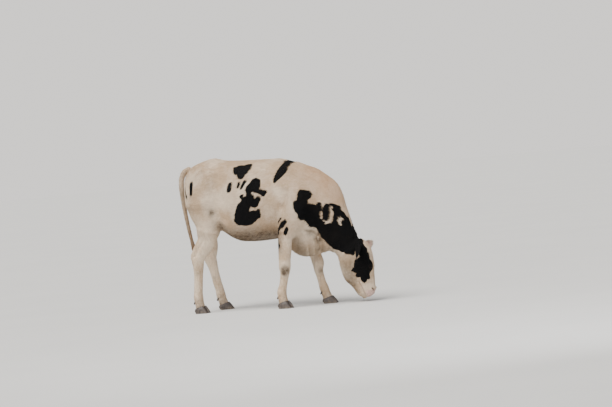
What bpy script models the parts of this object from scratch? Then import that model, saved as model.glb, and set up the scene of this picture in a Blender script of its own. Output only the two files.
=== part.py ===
"""A Holstein-Friesian heifer grazing, life-size: the solids of a still model, parted into named pieces.

The body is a blend of lofts. A loft is a row of egg-shaped sections along a smooth path, and each limb, the
trunk, the neck and the head is one. All are remeshed together, their points are laid on the blended surface
with its bony points and hollows, and thin cuts part the whole into head, neck, trunk and legs.
The cow heads along +X, its left is +Y, and z = 0 is the floor under its soles.
"""
import math

import bmesh
import bpy
import numpy as np
from mathutils import Matrix, Vector

# ---------------------------------------------------------------- driving sizes (metres, radians)
HIP_HEIGHT = 1.415          # floor to the top of the hips
GAP = 0.0004                # clearance between pieces that meet
VOXEL = 0.012               # grid of the first blended mesh
BODY_FACES = 4900           # triangles of the whole body before it is parted
STATION_STEP = 0.025        # spacing of the smooth sections along a loft
EYE_RADIUS = 0.0200
EYE_INSET = 0.0035          # how deep the eyeball's front sits under the brow's outline
EAR_LENGTH, EAR_WIDTH, EAR_THICKNESS = 0.185, 0.100, 0.006
EAR_ROOT = (0.050, -0.012, 0.070)                # below the poll, out of the forehead, to the side
EAR_CUP_ROOT, EAR_CUP_TIP = 0.040, 0.010         # depth of the ear's hollow
EAR_SET = {-1: (0.02, 0.52), 1: (0.44, 0.10)}    # how far the right and the left ear turn forward and hang
CORONET_FRONT, CORONET_BACK = 0.070, 0.038       # heights of the hairline above the floor
FOOT_LENGTH = 0.092                              # of the pastern where it meets the hoof
CLAW_WIDTH, CLEFT = 0.050, 0.012                 # one claw, and the gap between two
TOE_TOP, TOE_SOLE = 0.046, 0.096                 # reach of a claw forward at the hairline and at the sole
HEEL_TOP, HEEL_SOLE = 0.044, 0.028               # and back
DEWCLAW_LENGTH, DEWCLAW_RADIUS, DEWCLAW_TIP = 0.034, 0.0125, 0.006
DEWCLAW_ROOT = (0.030, 0.020, 0.110)             # behind the pastern's axis, to the side, above the floor
HEAD_YAW = math.radians(15)                      # the head and neck are turned this far to the cow's left

POLL = np.array([1.632, 0.108, 0.565])                                   # top of the head
HEAD_FRONT = np.array([math.cos(HEAD_YAW), math.sin(HEAD_YAW), 0.0])    # out of the forehead
HEAD_LEFT = np.array([-math.sin(HEAD_YAW), math.cos(HEAD_YAW), 0.0])
HEAD_DOWN = np.array([0.0, 0.0, -1.0])                                   # from poll to muzzle

# Where the lower leg stands: x of hock or knee, of fetlock and of coronet, y at the top and at the foot,
# and how far the toes turn out.
STANCE = {
    "hind_right": dict(joint=0.106, fetlock=0.074, foot=0.080, y=-0.160, out=math.radians(12)),
    "hind_left": dict(joint=0.068, fetlock=0.146, foot=0.164, y=0.155, out=math.radians(10)),
    "fore_right": dict(joint=0.976, fetlock=0.930, foot=0.934, y=-0.158, out=math.radians(12)),
    "fore_left": dict(joint=1.172, fetlock=1.216, foot=1.236, y=0.150, out=math.radians(8)),
}


# ---------------------------------------------------------------- lofts
def unit(v):
    """Vectors of length one along the last axis."""
    return v / np.maximum(np.linalg.norm(v, axis=-1, keepdims=True), 1e-12)


def smooth_rows(rows, step):
    """Carry rows (x, y, z, sizes...) along a cubic Hermite curve, one row each `step` of chord length."""
    rows = np.asarray(rows, float)
    s = np.concatenate([[0], np.cumsum(np.linalg.norm(np.diff(rows[:, :3], axis=0), axis=1))])
    slope = np.gradient(rows, s, axis=0)
    t = np.linspace(0, s[-1], max(3, int(round(s[-1] / step)) + 1))
    i = np.clip(np.searchsorted(s, t, side="right") - 1, 0, len(s) - 2)
    h = (s[i + 1] - s[i])[:, None]
    u = (t - s[i])[:, None] / h
    return ((1 + 2 * u) * (1 - u) ** 2 * rows[i] + u * (1 - u) ** 2 * h * slope[i]
            + u * u * (3 - 2 * u) * rows[i + 1] + u * u * (u - 1) * h * slope[i + 1])


class Loft:
    """Sections (x, y, z, half width, reach to the front, reach to the back) along a path.

    A section's width lies along `side`, and its front is the path's direction crossed with its side: up on
    the trunk, forward on a leg, out of the forehead on the head. `square` holds the exponents of its front
    and back halves: 2 is an ellipse, more is boxier.
    """

    def __init__(self, rows, side=(0, 1, 0), side_end=None, square=(2.0, 2.0), blend=0.05, step=STATION_STEP):
        rows = smooth_rows(rows, step)
        self.centre, self.width, self.front, self.back = rows[:, :3], rows[:, 3], rows[:, 4], rows[:, 5]
        self.along = unit(np.gradient(self.centre, axis=0))
        turn = np.linspace(0, 1, len(rows))[:, None]
        side = (1 - turn) * np.array(side, float) + turn * np.array(side if side_end is None else side_end, float)
        self.side = unit(side - np.sum(side * self.along, axis=1, keepdims=True) * self.along)
        self.out = np.cross(self.along, self.side)
        self.square, self.blend = square, blend
        self.reach = float(max(self.width.max(), self.front.max(), self.back.max()))

    def distance(self, points):
        """How far outside the loft each point is, measured along the ray from the nearest section's centre."""
        best = np.full(len(points), 1.0)
        low = self.centre.min(0) - self.reach - 0.1
        high = self.centre.max(0) + self.reach + 0.1
        near = np.flatnonzero(np.all((points > low) & (points < high), axis=1))
        p = points[near]
        found = np.full(len(p), 1.0)
        for j in range(len(self.centre) - 1):
            edge = self.centre[j + 1] - self.centre[j]
            u = np.clip((p - self.centre[j]) @ edge / (edge @ edge), 0, 1)

            def between(values):
                part = u if values.ndim == 1 else u[:, None]
                return values[j] * (1 - part) + values[j + 1] * part

            ray = p - between(self.centre)
            width, front, back = between(self.width), between(self.front), between(self.back)
            across = np.abs(np.sum(ray * between(self.side), axis=1)) / width
            outward = np.sum(ray * between(self.out), axis=1)
            power = np.where(outward > 0, *self.square)
            outward = np.where(outward > 0, outward / front, -outward / back)
            ahead = np.abs(np.sum(ray * between(self.along), axis=1)) / (0.6 * np.minimum(width, front))
            q = (across ** power + outward ** power + ahead ** power) ** (1 / power)
            d = np.linalg.norm(ray, axis=1) * (1 - 1 / np.maximum(q, 1e-4))
            found = np.minimum(found, d)
        best[near] = found
        return best

    def tube(self, bm, sides=20):
        """Add the loft as a closed tube of flat-ended rings."""
        angle = np.linspace(0, 2 * math.pi, sides, endpoint=False)
        c, s = np.cos(angle), np.sin(angle)
        power = np.where(s > 0, *self.square)
        across = np.sign(c) * np.abs(c) ** (2 / power)
        outward = np.sign(s) * np.abs(s) ** (2 / power)
        rings = []
        for i, centre in enumerate(self.centre):
            reach = np.where(s > 0, self.front[i], self.back[i])
            ring = (centre + np.outer(across * self.width[i], self.side[i])
                    + np.outer(outward * reach, self.out[i]))
            rings.append([bm.verts.new(p) for p in ring])
        join_rings(bm, rings)


def join_rings(bm, rings):
    """Skin a row of equal rings of vertices with quads and cap both ends."""
    for a, b in zip(rings, rings[1:]):
        for k in range(len(a)):
            n = (k + 1) % len(a)
            bm.faces.new((a[k], b[k], b[n], a[n]))
    bm.faces.new(rings[0])
    bm.faces.new(rings[-1][::-1])


def mirrored(rows):
    """The same stations on the other side of the body."""
    return [(x, -y, *rest) for x, y, *rest in rows]


# ---------------------------------------------------------------- the cow's lofts
def on_head(down, front, left=0.0):
    """A point given in the head's own frame: metres below the poll, out of the forehead, to the left."""
    return POLL + HEAD_DOWN * down + HEAD_FRONT * front + HEAD_LEFT * left


def trunk():
    """Barrel from the pin bones to the breast: x, half width, heights of the back and of the belly."""
    rows = [
        (0.032, 0.122, 1.350, 0.990),     # in front of the pins
        (0.085, 0.168, 1.375, 0.930),
        (0.150, 0.195, 1.395, 0.880),
        (0.275, 0.222, HIP_HEIGHT, 0.820),
        (0.400, 0.252, 1.392, 0.705),
        (0.500, 0.282, 1.383, 0.640),
        (0.620, 0.300, 1.378, 0.622),     # middle of the barrel
        (0.750, 0.298, 1.374, 0.622),
        (0.870, 0.270, 1.370, 0.628),
        (0.980, 0.232, 1.362, 0.622),     # withers
        (1.090, 0.205, 1.312, 0.560),
        (1.200, 0.180, 1.230, 0.510),
        (1.290, 0.130, 1.080, 0.500),     # breast
    ]
    axis = 1.02
    return Loft([(x, 0, axis, w, top - axis, axis - low) for x, w, top, low in rows], square=(1.9, 2.1), blend=0.06)


def neck():
    """From between the shoulder blades down to the nape, turning to the left."""
    rows = [
        (1.020, 0.000, 1.020, 0.150, 0.300, 0.300),
        (1.160, 0.010, 0.960, 0.150, 0.306, 0.340),
        (1.270, 0.028, 0.870, 0.138, 0.304, 0.320),
        (1.365, 0.052, 0.760, 0.122, 0.225, 0.270),
        (1.450, 0.078, 0.655, 0.108, 0.150, 0.215),
        (1.520, 0.095, 0.560, 0.098, 0.100, 0.180),
        (1.560, 0.100, 0.480, 0.090, 0.070, 0.150),
    ]
    return Loft(rows, side_end=HEAD_LEFT, square=(2.0, 2.0), blend=0.06)


def brisket():
    """The hanging fold of the breast and the dewlap up to the throat."""
    rows = [
        (0.985, 0.000, 0.640, 0.060, 0.100, 0.100),
        (1.080, 0.000, 0.620, 0.072, 0.120, 0.155),
        (1.190, 0.004, 0.610, 0.070, 0.130, 0.162),
        (1.280, 0.014, 0.620, 0.052, 0.120, 0.150),
        (1.340, 0.032, 0.640, 0.036, 0.100, 0.125),
    ]
    return Loft(rows, blend=0.045)


def head():
    """Poll to muzzle: metres below the poll, axis out of the poll's line, half width, front, back."""
    rows = [
        (0.016, 0.000, 0.056, 0.030, 0.100),
        (0.060, 0.000, 0.080, 0.070, 0.185),
        (0.125, 0.000, 0.096, 0.098, 0.215),
        (0.210, 0.000, 0.103, 0.107, 0.214),     # brow
        (0.285, 0.000, 0.088, 0.106, 0.196),
        (0.350, 0.012, 0.072, 0.090, 0.172),     # bridge of the nose
        (0.415, 0.022, 0.062, 0.078, 0.128),
        (0.465, 0.034, 0.064, 0.066, 0.094),     # nostrils
        (0.494, 0.046, 0.054, 0.046, 0.076),
    ]
    places = [(*on_head(down, axis), w, f, b) for down, axis, w, f, b in rows]
    return Loft(places, side=HEAD_LEFT, square=(2.7, 2.1), blend=0.035)


def shoulders():
    """Shoulder blade with its muscle, and the upper arm down to the elbow, on both sides."""
    blade = [
        (1.000, -0.070, 1.270, 0.040, 0.070, 0.080),
        (1.060, -0.125, 1.150, 0.062, 0.110, 0.120),
        (1.130, -0.158, 1.010, 0.072, 0.110, 0.130),
        (1.185, -0.165, 0.890, 0.072, 0.080, 0.120),
    ]
    right_arm = [
        (1.170, -0.165, 0.880, 0.070, 0.085, 0.110),
        (1.095, -0.172, 0.790, 0.070, 0.105, 0.120),
        (1.030, -0.172, 0.700, 0.058, 0.090, 0.085),
    ]
    left_arm = [
        (1.185, 0.165, 0.880, 0.070, 0.085, 0.110),
        (1.125, 0.170, 0.790, 0.070, 0.105, 0.120),
        (1.080, 0.168, 0.690, 0.058, 0.085, 0.085),
    ]
    return [Loft(blade, blend=0.07), Loft(mirrored(blade), blend=0.07),
            Loft(right_arm, blend=0.06), Loft(left_arm, blend=0.06)]


def haunches():
    """Rump muscle and thigh down to the shank on each side."""
    rump = [
        (0.330, -0.165, 1.235, 0.070, 0.120, 0.150),
        (0.220, -0.140, 1.130, 0.085, 0.150, 0.170),
        (0.205, -0.138, 1.000, 0.092, 0.160, 0.165),
    ]
    right_thigh = [
        (0.205, -0.138, 1.010, 0.090, 0.160, 0.165),
        (0.215, -0.140, 0.925, 0.088, 0.158, 0.160),
        (0.230, -0.150, 0.805, 0.080, 0.125, 0.122),
        (0.232, -0.158, 0.730, 0.070, 0.102, 0.104),
    ]
    left_thigh = [
        (0.200, 0.138, 1.010, 0.090, 0.160, 0.165),
        (0.160, 0.140, 0.925, 0.088, 0.145, 0.160),
        (0.100, 0.150, 0.805, 0.080, 0.110, 0.124),
        (0.078, 0.158, 0.730, 0.070, 0.094, 0.102),
    ]
    return [Loft(rump, blend=0.06), Loft(mirrored(rump), blend=0.06),
            Loft(right_thigh, blend=0.06), Loft(left_thigh, blend=0.06)]


def hind_leg(name, knee):
    """Shank, hock, cannon, fetlock and pastern. `knee` is the foot of the thigh."""
    at = STANCE[name]
    sign = math.copysign(1, at["y"])
    joint, fetlock, foot, y = at["joint"], at["fetlock"], at["foot"], at["y"]
    rows = [
        (knee, sign * 0.158, 0.740, 0.070, 0.100, 0.100),
        (knee - 0.014, sign * 0.162, 0.683, 0.060, 0.092, 0.094),
        ((knee + joint) / 2 + (knee - joint) * 0.03, sign * 0.164, 0.612, 0.050, 0.082, 0.090),
        (joint + (knee - joint) * 0.21, sign * 0.165, 0.556, 0.044, 0.074, 0.086),
        (joint, sign * 0.164, 0.490, 0.043, 0.058, 0.072),             # hock
        (0.85 * joint + 0.15 * fetlock, sign * 0.162, 0.436, 0.041, 0.052, 0.056),
        (0.65 * joint + 0.35 * fetlock, y, 0.375, 0.036, 0.045, 0.050),
        (0.30 * joint + 0.70 * fetlock, y, 0.250, 0.035, 0.040, 0.050),  # cannon
        (0.05 * joint + 0.95 * fetlock, y, 0.175, 0.037, 0.040, 0.051),
        (fetlock, y, 0.140, 0.043, 0.042, 0.053),                        # fetlock
        (0.5 * (fetlock + foot), y, 0.100, 0.042, 0.041, 0.047),
        (foot, y, 0.060, 0.049, 0.046, 0.046),                           # coronet
        (foot + 0.006, y, 0.030, 0.049, 0.046, 0.046),
    ]
    return Loft(rows, blend=0.05)


def fore_leg(name, elbow):
    """Forearm, knee, cannon, fetlock and pastern. `elbow` is the foot of the upper arm."""
    at = STANCE[name]
    sign = math.copysign(1, at["y"])
    joint, fetlock, foot, y = at["joint"], at["fetlock"], at["foot"], at["y"]
    rows = [
        (elbow, sign * 0.168, 0.700, 0.056, 0.080, 0.078),
        (0.8 * elbow + 0.2 * joint, sign * 0.166, 0.625, 0.054, 0.074, 0.076),
        (0.5 * (elbow + joint), sign * 0.163, 0.530, 0.050, 0.065, 0.066),
        (0.2 * elbow + 0.8 * joint, sign * 0.160, 0.440, 0.046, 0.058, 0.060),
        (joint, y, 0.370, 0.050, 0.055, 0.052),                          # knee
        (joint - 0.003, y, 0.325, 0.045, 0.047, 0.046),
        (0.75 * joint + 0.25 * fetlock, y, 0.270, 0.035, 0.037, 0.045),
        (0.40 * joint + 0.60 * fetlock, y, 0.205, 0.033, 0.035, 0.046),  # cannon
        (fetlock, y, 0.140, 0.042, 0.040, 0.053),                        # fetlock
        (0.5 * (fetlock + foot), y, 0.100, 0.042, 0.041, 0.048),
        (foot, y, 0.060, 0.051, 0.047, 0.046),                           # coronet
        (foot + 0.006, y, 0.030, 0.051, 0.047, 0.046),
    ]
    return Loft(rows, blend=0.045)


def body_lofts():
    """Every loft that blends into the body."""
    return [trunk(), neck(), brisket(), head(), *shoulders(), *haunches(),
            hind_leg("hind_right", 0.232), hind_leg("hind_left", 0.078),
            fore_leg("fore_right", 1.020), fore_leg("fore_left", 1.075)]


def eye_centres():
    """Centres of the right and the left eyeball."""
    return [on_head(0.250, 0.074, side * (0.091 - EYE_RADIUS - EYE_INSET)) for side in (-1, 1)]


def landmarks():
    """Bony points and hollows of the body: place, radius, height (negative for a hollow)."""
    marks = [
        ((-0.035, 0.0, 1.300), 0.045, 0.016),                     # tail head
        ((0.290, 0.0, 1.412), 0.060, 0.006),                      # sacrum
    ]
    for side in (-1, 1):
        marks += [
            ((0.375, side * 0.225, 1.320), 0.045, 0.026),         # hook bone
            ((-0.020, side * 0.115, 1.235), 0.042, 0.022),        # pin bone
            ((0.170, side * 0.190, 1.290), 0.070, -0.010),        # between hook and pin
            ((0.470, side * 0.235, 1.220), 0.060, -0.024),        # hollow of the flank
            ((0.370, side * 0.245, 0.900), 0.070, -0.022),        # groin in front of the thigh
            ((0.860, side * 0.230, 1.160), 0.080, -0.012),        # behind the shoulder blade
            ((0.900, side * 0.245, 0.720), 0.065, -0.014),        # behind the elbow
            ((1.225, side * 0.200, 0.880), 0.055, 0.008),         # point of the shoulder
            (on_head(0.222, 0.084, side * 0.098), 0.026, 0.011),  # brow
            (on_head(0.295, 0.095, side * 0.070), 0.034, -0.008),  # in front of the eye
            (on_head(0.130, 0.030, side * 0.098), 0.040, -0.008), # temple
            (on_head(0.250, -0.110, side * 0.085), 0.050, 0.008),  # cheek
            (on_head(0.340, -0.070, side * 0.070), 0.035, -0.008),  # hollow in front of the cheek
            (on_head(0.462, 0.080, side * 0.050), 0.018, 0.006),  # wing of the nostril
            (on_head(0.474, 0.098, side * 0.038), 0.009, -0.006),  # nostril
        ]
    return marks


def surface(points, lofts, marks):
    """Blended distance: the lofts' smooth union, raised at the bony points and lowered in the hollows."""
    d = np.full(len(points), 1.0)
    for loft in lofts:
        other, k = loft.distance(points), loft.blend
        overlap = np.maximum(k - np.abs(d - other), 0) / k
        d = np.minimum(d, other) - overlap ** 2 * k / 4
    for place, radius, height in marks:
        away = np.sum((points - np.array(place)) ** 2, axis=1)
        d -= height * np.exp(-away / (2 * radius ** 2))
    return d


# ---------------------------------------------------------------- Blender helpers
def clear():
    """Empty the scene that the script is run in."""
    for obj in list(bpy.data.objects):
        bpy.data.objects.remove(obj, do_unlink=True)


def collection(name):
    """A collection of the scene, made if it isn't there."""
    found = bpy.data.collections.get(name) or bpy.data.collections.new(name)
    if name not in bpy.context.scene.collection.children:
        bpy.context.scene.collection.children.link(found)
    return found


def place(name, mesh, group="Cow"):
    """Put a mesh into the scene as an object of a collection."""
    obj = bpy.data.objects.new(name, mesh)
    collection(group).objects.link(obj)
    return obj


def from_bmesh(name, bm, group="Cow"):
    """Close a bmesh into an object, its faces turned outwards."""
    bmesh.ops.recalc_face_normals(bm, faces=bm.faces)
    mesh = bpy.data.meshes.new(name)
    bm.to_mesh(mesh)
    bm.free()
    return place(name, mesh, group)


def apply_modifiers(obj):
    """Swap an object's mesh for its evaluated one and drop the modifiers."""
    bpy.context.view_layer.update()
    graph = bpy.context.evaluated_depsgraph_get()
    mesh = bpy.data.meshes.new_from_object(obj.evaluated_get(graph))
    obj.modifiers.clear()
    obj.data = mesh


def boolean(obj, other, operation, solver="EXACT"):
    """Apply a Boolean with another object."""
    step = obj.modifiers.new(operation.title(), "BOOLEAN")
    step.operation, step.object, step.solver = operation, other, solver
    apply_modifiers(obj)


def points_of(mesh):
    """A mesh's points as an array."""
    values = np.empty(len(mesh.vertices) * 3)
    mesh.vertices.foreach_get("co", values)
    return values.reshape(-1, 3)


def normals_of(mesh):
    """A mesh's point normals as an array."""
    values = np.empty(len(mesh.vertices) * 3, np.float32)
    mesh.vertex_normals.foreach_get("vector", values)
    return values.reshape(-1, 3).astype(float)


def settle(mesh, lofts, marks, rounds):
    """Move the points along their normals until they lie on the blended surface."""
    for _ in range(rounds):
        points = points_of(mesh)
        step = np.clip(surface(points, lofts, marks), -0.012, 0.012)
        mesh.vertices.foreach_set("co", (points - 0.85 * step[:, None] * normals_of(mesh)).ravel())
        mesh.update()


def relax(mesh, rounds):
    """Even out the points of a mesh."""
    bm = bmesh.new()
    bm.from_mesh(mesh)
    for _ in range(rounds):
        bmesh.ops.smooth_vert(bm, verts=bm.verts, factor=0.5, use_axis_x=True, use_axis_y=True, use_axis_z=True)
    bm.to_mesh(mesh)
    bm.free()


def box_cutter(name, centre, size, normal=(0, 0, 1)):
    """A box for cutting, its local Z along `normal`."""
    bm = bmesh.new()
    bmesh.ops.create_cube(bm, size=1.0)
    turn = Vector((0, 0, 1)).rotation_difference(Vector(normal)).to_matrix().to_4x4()
    bmesh.ops.transform(bm, verts=bm.verts, matrix=Matrix.Translation(centre) @ turn @ Matrix.Diagonal((*size, 1)))
    return hidden(from_bmesh(name, bm, "Cutters"))


def ball(name, centre, radius, group, segments=14, rings=8):
    """A sphere with its poles along the cow's left and right."""
    bm = bmesh.new()
    bmesh.ops.create_uvsphere(bm, u_segments=segments, v_segments=rings, radius=radius)
    matrix = Matrix.Translation(Vector(centre)) @ Matrix.Rotation(math.pi / 2, 4, "X")
    bmesh.ops.transform(bm, verts=bm.verts, matrix=matrix)
    return from_bmesh(name, bm, group)


def loose_pieces(bm):
    """The vertices of each connected piece of a bmesh, the largest piece first."""
    left, pieces = set(bm.verts), []
    while left:
        stack, piece = [left.pop()], []
        while stack:
            vert = stack.pop()
            piece.append(vert)
            fresh = {edge.other_vert(vert) for edge in vert.link_edges} & left
            left -= fresh
            stack.extend(fresh)
        pieces.append(piece)
    return sorted(pieces, key=len, reverse=True)


def hidden(obj):
    """Mark a cutter or a guide, which isn't part of the cow."""
    obj.hide_render = True
    obj.display_type = "WIRE"
    return obj


# ---------------------------------------------------------------- building the body
def blended_body():
    """The head, neck, trunk and legs as one closed mesh of few triangles."""
    lofts, marks = body_lofts(), landmarks()
    bm = bmesh.new()
    for loft in lofts:
        loft.tube(bm)
    body = from_bmesh("body", bm, "Cutters")
    remesh = body.modifiers.new("Remesh", "REMESH")
    remesh.mode, remesh.voxel_size = "VOXEL", VOXEL
    apply_modifiers(body)
    relax(body.data, 2)
    settle(body.data, lofts, marks, 5)
    relax(body.data, 2)
    settle(body.data, lofts, marks, 4)
    thin = body.modifiers.new("Decimate", "DECIMATE")
    thin.ratio = BODY_FACES / (2 * len(body.data.polygons))
    thin.use_collapse_triangulate = True
    apply_modifiers(body)
    return body


def grown(body, depth):
    """A copy of the body that is `depth` larger all round, to cut what meets it."""
    copy = place("body_clearance", body.data.copy(), "Cutters")
    points = points_of(copy.data)
    copy.data.vertices.foreach_set("co", (points + depth * normals_of(copy.data)).ravel())
    copy.data.update()
    return hidden(copy)


def coronet_plane(name):
    """A point of the hairline's plane over a foot, and the plane's normal."""
    at = STANCE[name]
    slope = math.atan2(CORONET_FRONT - CORONET_BACK, FOOT_LENGTH)
    height = 0.5 * (CORONET_FRONT + CORONET_BACK)
    turn = math.copysign(at["out"], at["y"])
    forward = Vector((math.cos(turn), math.sin(turn), 0))
    normal = Vector((0, 0, 1)) * math.cos(slope) - forward * math.sin(slope)
    return Vector((at["foot"], at["y"], height)), normal, forward


CUTS = {  # place, normal and size of each thin cut
    "neck_root": ((1.225, 0.0, 0.92), (0.965, 0.0, 0.262), (1.02, 0.60)),
    "nape": ((1.440, 0.055, 0.560), (0.62, 0.13, -0.772), (0.42, 0.40)),
    "thigh_right": ((0.205, -0.165, 0.655), (0, 0, 1), (0.26, 0.20)),
    "thigh_left": ((0.070, 0.165, 0.655), (0, 0, 1), (0.26, 0.20)),
    "elbow_right": ((1.010, -0.180, 0.570), (0, 0, 1), (0.22, 0.185)),
    "elbow_left": ((1.105, 0.180, 0.560), (0, 0, 1), (0.22, 0.185)),
    "hock_right": ((0.095, -0.162, 0.405), (0, 0, 1), (0.20, 0.16)),
    "hock_left": ((0.085, 0.160, 0.405), (0, 0, 1), (0.20, 0.16)),
    "knee_right": ((0.972, -0.158, 0.300), (0, 0, 1), (0.20, 0.16)),
    "knee_left": ((1.182, 0.152, 0.300), (0, 0, 1), (0.20, 0.16)),
}

NODE_PLACES = {  # a point inside each piece of the parted body
    "head": on_head(0.25, 0.0),
    "neck": (1.38, 0.055, 0.78),
    "trunk": (0.55, 0.0, 1.00),
    "shank_right": (0.13, -0.164, 0.54),
    "shank_left": (0.10, 0.164, 0.54),
    "forearm_right": (1.00, -0.162, 0.46),
    "forearm_left": (1.14, 0.160, 0.46),
    "cannon_hind_right": (0.08, -0.160, 0.25),
    "cannon_hind_left": (0.12, 0.155, 0.25),
    "cannon_fore_right": (0.945, -0.158, 0.20),
    "cannon_fore_left": (1.200, 0.150, 0.20),
}


def part_body(body):
    """Cut the body into its named pieces and open the eye sockets."""
    for name in STANCE:
        point, normal, _ = coronet_plane(name)
        depth = 0.12
        box = box_cutter(f"sole_{name}", point - normal * depth / 2, (0.30, 0.22, depth), normal)
        boolean(body, box, "DIFFERENCE", "MANIFOLD")
    for name, (centre, normal, size) in CUTS.items():
        boolean(body, box_cutter(f"cut_{name}", centre, (*size, GAP), normal), "DIFFERENCE", "MANIFOLD")
    for side, centre in zip(("right", "left"), eye_centres()):
        boolean(body, hidden(ball(f"socket_{side}", centre, EYE_RADIUS + GAP, "Cutters")), "DIFFERENCE", "MANIFOLD")
    bm = bmesh.new()
    bm.from_mesh(body.data)
    pieces = loose_pieces(bm)
    for piece in pieces[:len(NODE_PLACES)]:
        middle = sum((v.co for v in piece), Vector()) / len(piece)
        name = min(NODE_PLACES, key=lambda n: (Vector(NODE_PLACES[n]) - middle).length)
        chosen = set(piece)
        out = bmesh.new()
        twin = {v: out.verts.new(v.co) for v in piece}
        for f in bm.faces:
            if f.verts[0] in chosen:
                out.faces.new([twin[v] for v in f.verts])
        bmesh.ops.triangulate(out, faces=out.faces)
        from_bmesh(name, out)
    bm.free()


# ---------------------------------------------------------------- ears, tail, feet
def ear_half_width(t):
    """Half the ear's width, from its root at t = 0 past the broadest part to the tip at t = 1."""
    if t < 0.62:
        return 0.5 * EAR_WIDTH * (0.42 + 0.58 * math.sin(math.pi * (1.15 * t) ** 0.9))
    return max(0.5 * EAR_WIDTH * math.cos(math.pi / 2 * (t - 0.62) / 0.38) ** 0.62, EAR_THICKNESS)


def ear(name, side, clearance):
    """A cupped leaf on the side of the poll, standing out and hanging a little, cut where it meets the head."""
    down, front, out = EAR_ROOT
    forward, drop = EAR_SET[side]
    root = Vector(on_head(down, front, side * out))
    along = Vector(unit(HEAD_LEFT * side * 0.85 + HEAD_FRONT * forward + HEAD_DOWN * drop))
    open_to = Vector(unit(HEAD_FRONT * 0.80 + HEAD_DOWN * 0.45 - HEAD_LEFT * side * 0.1))
    across = along.cross(open_to).normalized()
    open_to = across.cross(along).normalized()
    long_steps, wide_steps = 9, 6
    bm = bmesh.new()
    grid = []
    for i in range(long_steps + 1):
        t = i / long_steps
        half = ear_half_width(t)
        cup = EAR_CUP_ROOT * (1 - t) + EAR_CUP_TIP * t
        bends = [2 * j / wide_steps - 1 for j in range(wide_steps + 1)]
        grid.append([bm.verts.new(root + along * (EAR_LENGTH * t) + across * (half * v)
                                  + open_to * (cup * (v * v - 0.6))) for v in bends])
    for a, b in zip(grid, grid[1:]):
        for j in range(wide_steps):
            bm.faces.new((a[j], b[j], b[j + 1], a[j + 1]))
    obj = from_bmesh(name, bm)
    shell = obj.modifiers.new("Solidify", "SOLIDIFY")
    shell.thickness, shell.offset = EAR_THICKNESS, 0.0
    apply_modifiers(obj)
    boolean(obj, clearance, "DIFFERENCE")
    keep_largest(obj)


def keep_largest(obj):
    """Leave only the largest loose piece of an object."""
    bm = bmesh.new()
    bm.from_mesh(obj.data)
    kept = set(loose_pieces(bm)[0])
    bmesh.ops.delete(bm, geom=[v for v in bm.verts if v not in kept], context="VERTS")
    bmesh.ops.triangulate(bm, faces=bm.faces)
    bm.to_mesh(obj.data)
    bm.free()


def tail_rows():
    """The tail's path from the rump to between the hocks: x, y, z, half width, front, back."""
    return [
        (0.020, 0.0, 1.335, 0.036, 0.034, 0.030),
        (-0.034, 0.0, 1.318, 0.034, 0.034, 0.028),
        (-0.072, 0.0, 1.268, 0.029, 0.031, 0.025),
        (-0.086, 0.0, 1.200, 0.026, 0.027, 0.024),
        (-0.086, 0.0, 1.120, 0.024, 0.024, 0.023),
        (-0.075, 0.0, 0.980, 0.022, 0.022, 0.022),
        (-0.058, 0.0, 0.840, 0.020, 0.020, 0.020),
        (-0.036, 0.0, 0.700, 0.021, 0.021, 0.021),
    ]


def switch_rows():
    """The tuft at the tail's end."""
    return [
        (-0.036, 0.000, 0.700, 0.021, 0.021, 0.021),
        (-0.022, 0.002, 0.620, 0.029, 0.028, 0.028),
        (-0.006, 0.004, 0.540, 0.030, 0.029, 0.029),
        (0.006, 0.006, 0.470, 0.022, 0.022, 0.022),
        (0.012, 0.007, 0.425, 0.008, 0.008, 0.008),
    ]


def tube_object(name, rows, sides):
    """A closed tube along rows of stations."""
    bm = bmesh.new()
    Loft(rows, step=2 * STATION_STEP).tube(bm, sides)
    bmesh.ops.triangulate(bm, faces=bm.faces)
    return from_bmesh(name, bm)


def tail(clearance):
    """The tail and its switch, parted by a thin cut."""
    obj = tube_object("tail", tail_rows(), 10)
    boolean(obj, clearance, "DIFFERENCE")
    keep_largest(obj)
    rows = switch_rows()
    along = Vector(rows[1][:3]) - Vector(rows[0][:3])
    start = Vector(rows[0][:3]) + along.normalized() * GAP * 1.5
    rows[0] = (*start, *rows[0][3:])
    tube_object("tail_switch", rows, 10)


def claw(name, foot, inner):
    """One half of a cloven hoof: D-shaped rings from the slanted hairline down to a flat sole."""
    point, normal, forward = coronet_plane(foot)
    aside = Vector((0, 0, 1)).cross(forward) * inner
    middle = (CLEFT + CLAW_WIDTH) / 2
    around, levels = 12, 3
    bm = bmesh.new()
    rings = []
    for k in range(levels + 1):
        t = k / levels                      # 0 at the hairline, 1 at the sole
        toe = TOE_TOP + (TOE_SOLE - TOE_TOP) * t
        heel = HEEL_TOP + (HEEL_SOLE - HEEL_TOP) * t
        half = CLAW_WIDTH * (0.5 + 0.04 * math.sin(math.pi * t))
        ring = []
        for i in range(around):
            c, s = math.cos(2 * math.pi * i / around), math.sin(2 * math.pi * i / around)
            taper = 1 - 0.34 * max(0.0, c) ** 2 * (0.6 + 0.4 * t)
            off = abs(s) ** 0.8 * math.copysign(half * taper, s)
            bend = 0.12 * CLAW_WIDTH * max(0.0, c) ** 2
            spot = point + forward * (c * (toe if c > 0 else heel)) + aside * (middle + off - bend)
            top = point.z + (point - spot).xy.dot(normal.xy) / normal.z - GAP / normal.z
            spot.z = top * (1 - t)
            ring.append(bm.verts.new(spot))
        rings.append(ring)
    join_rings(bm, rings)
    bmesh.ops.triangulate(bm, faces=bm.faces)
    from_bmesh(name, bm)


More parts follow.
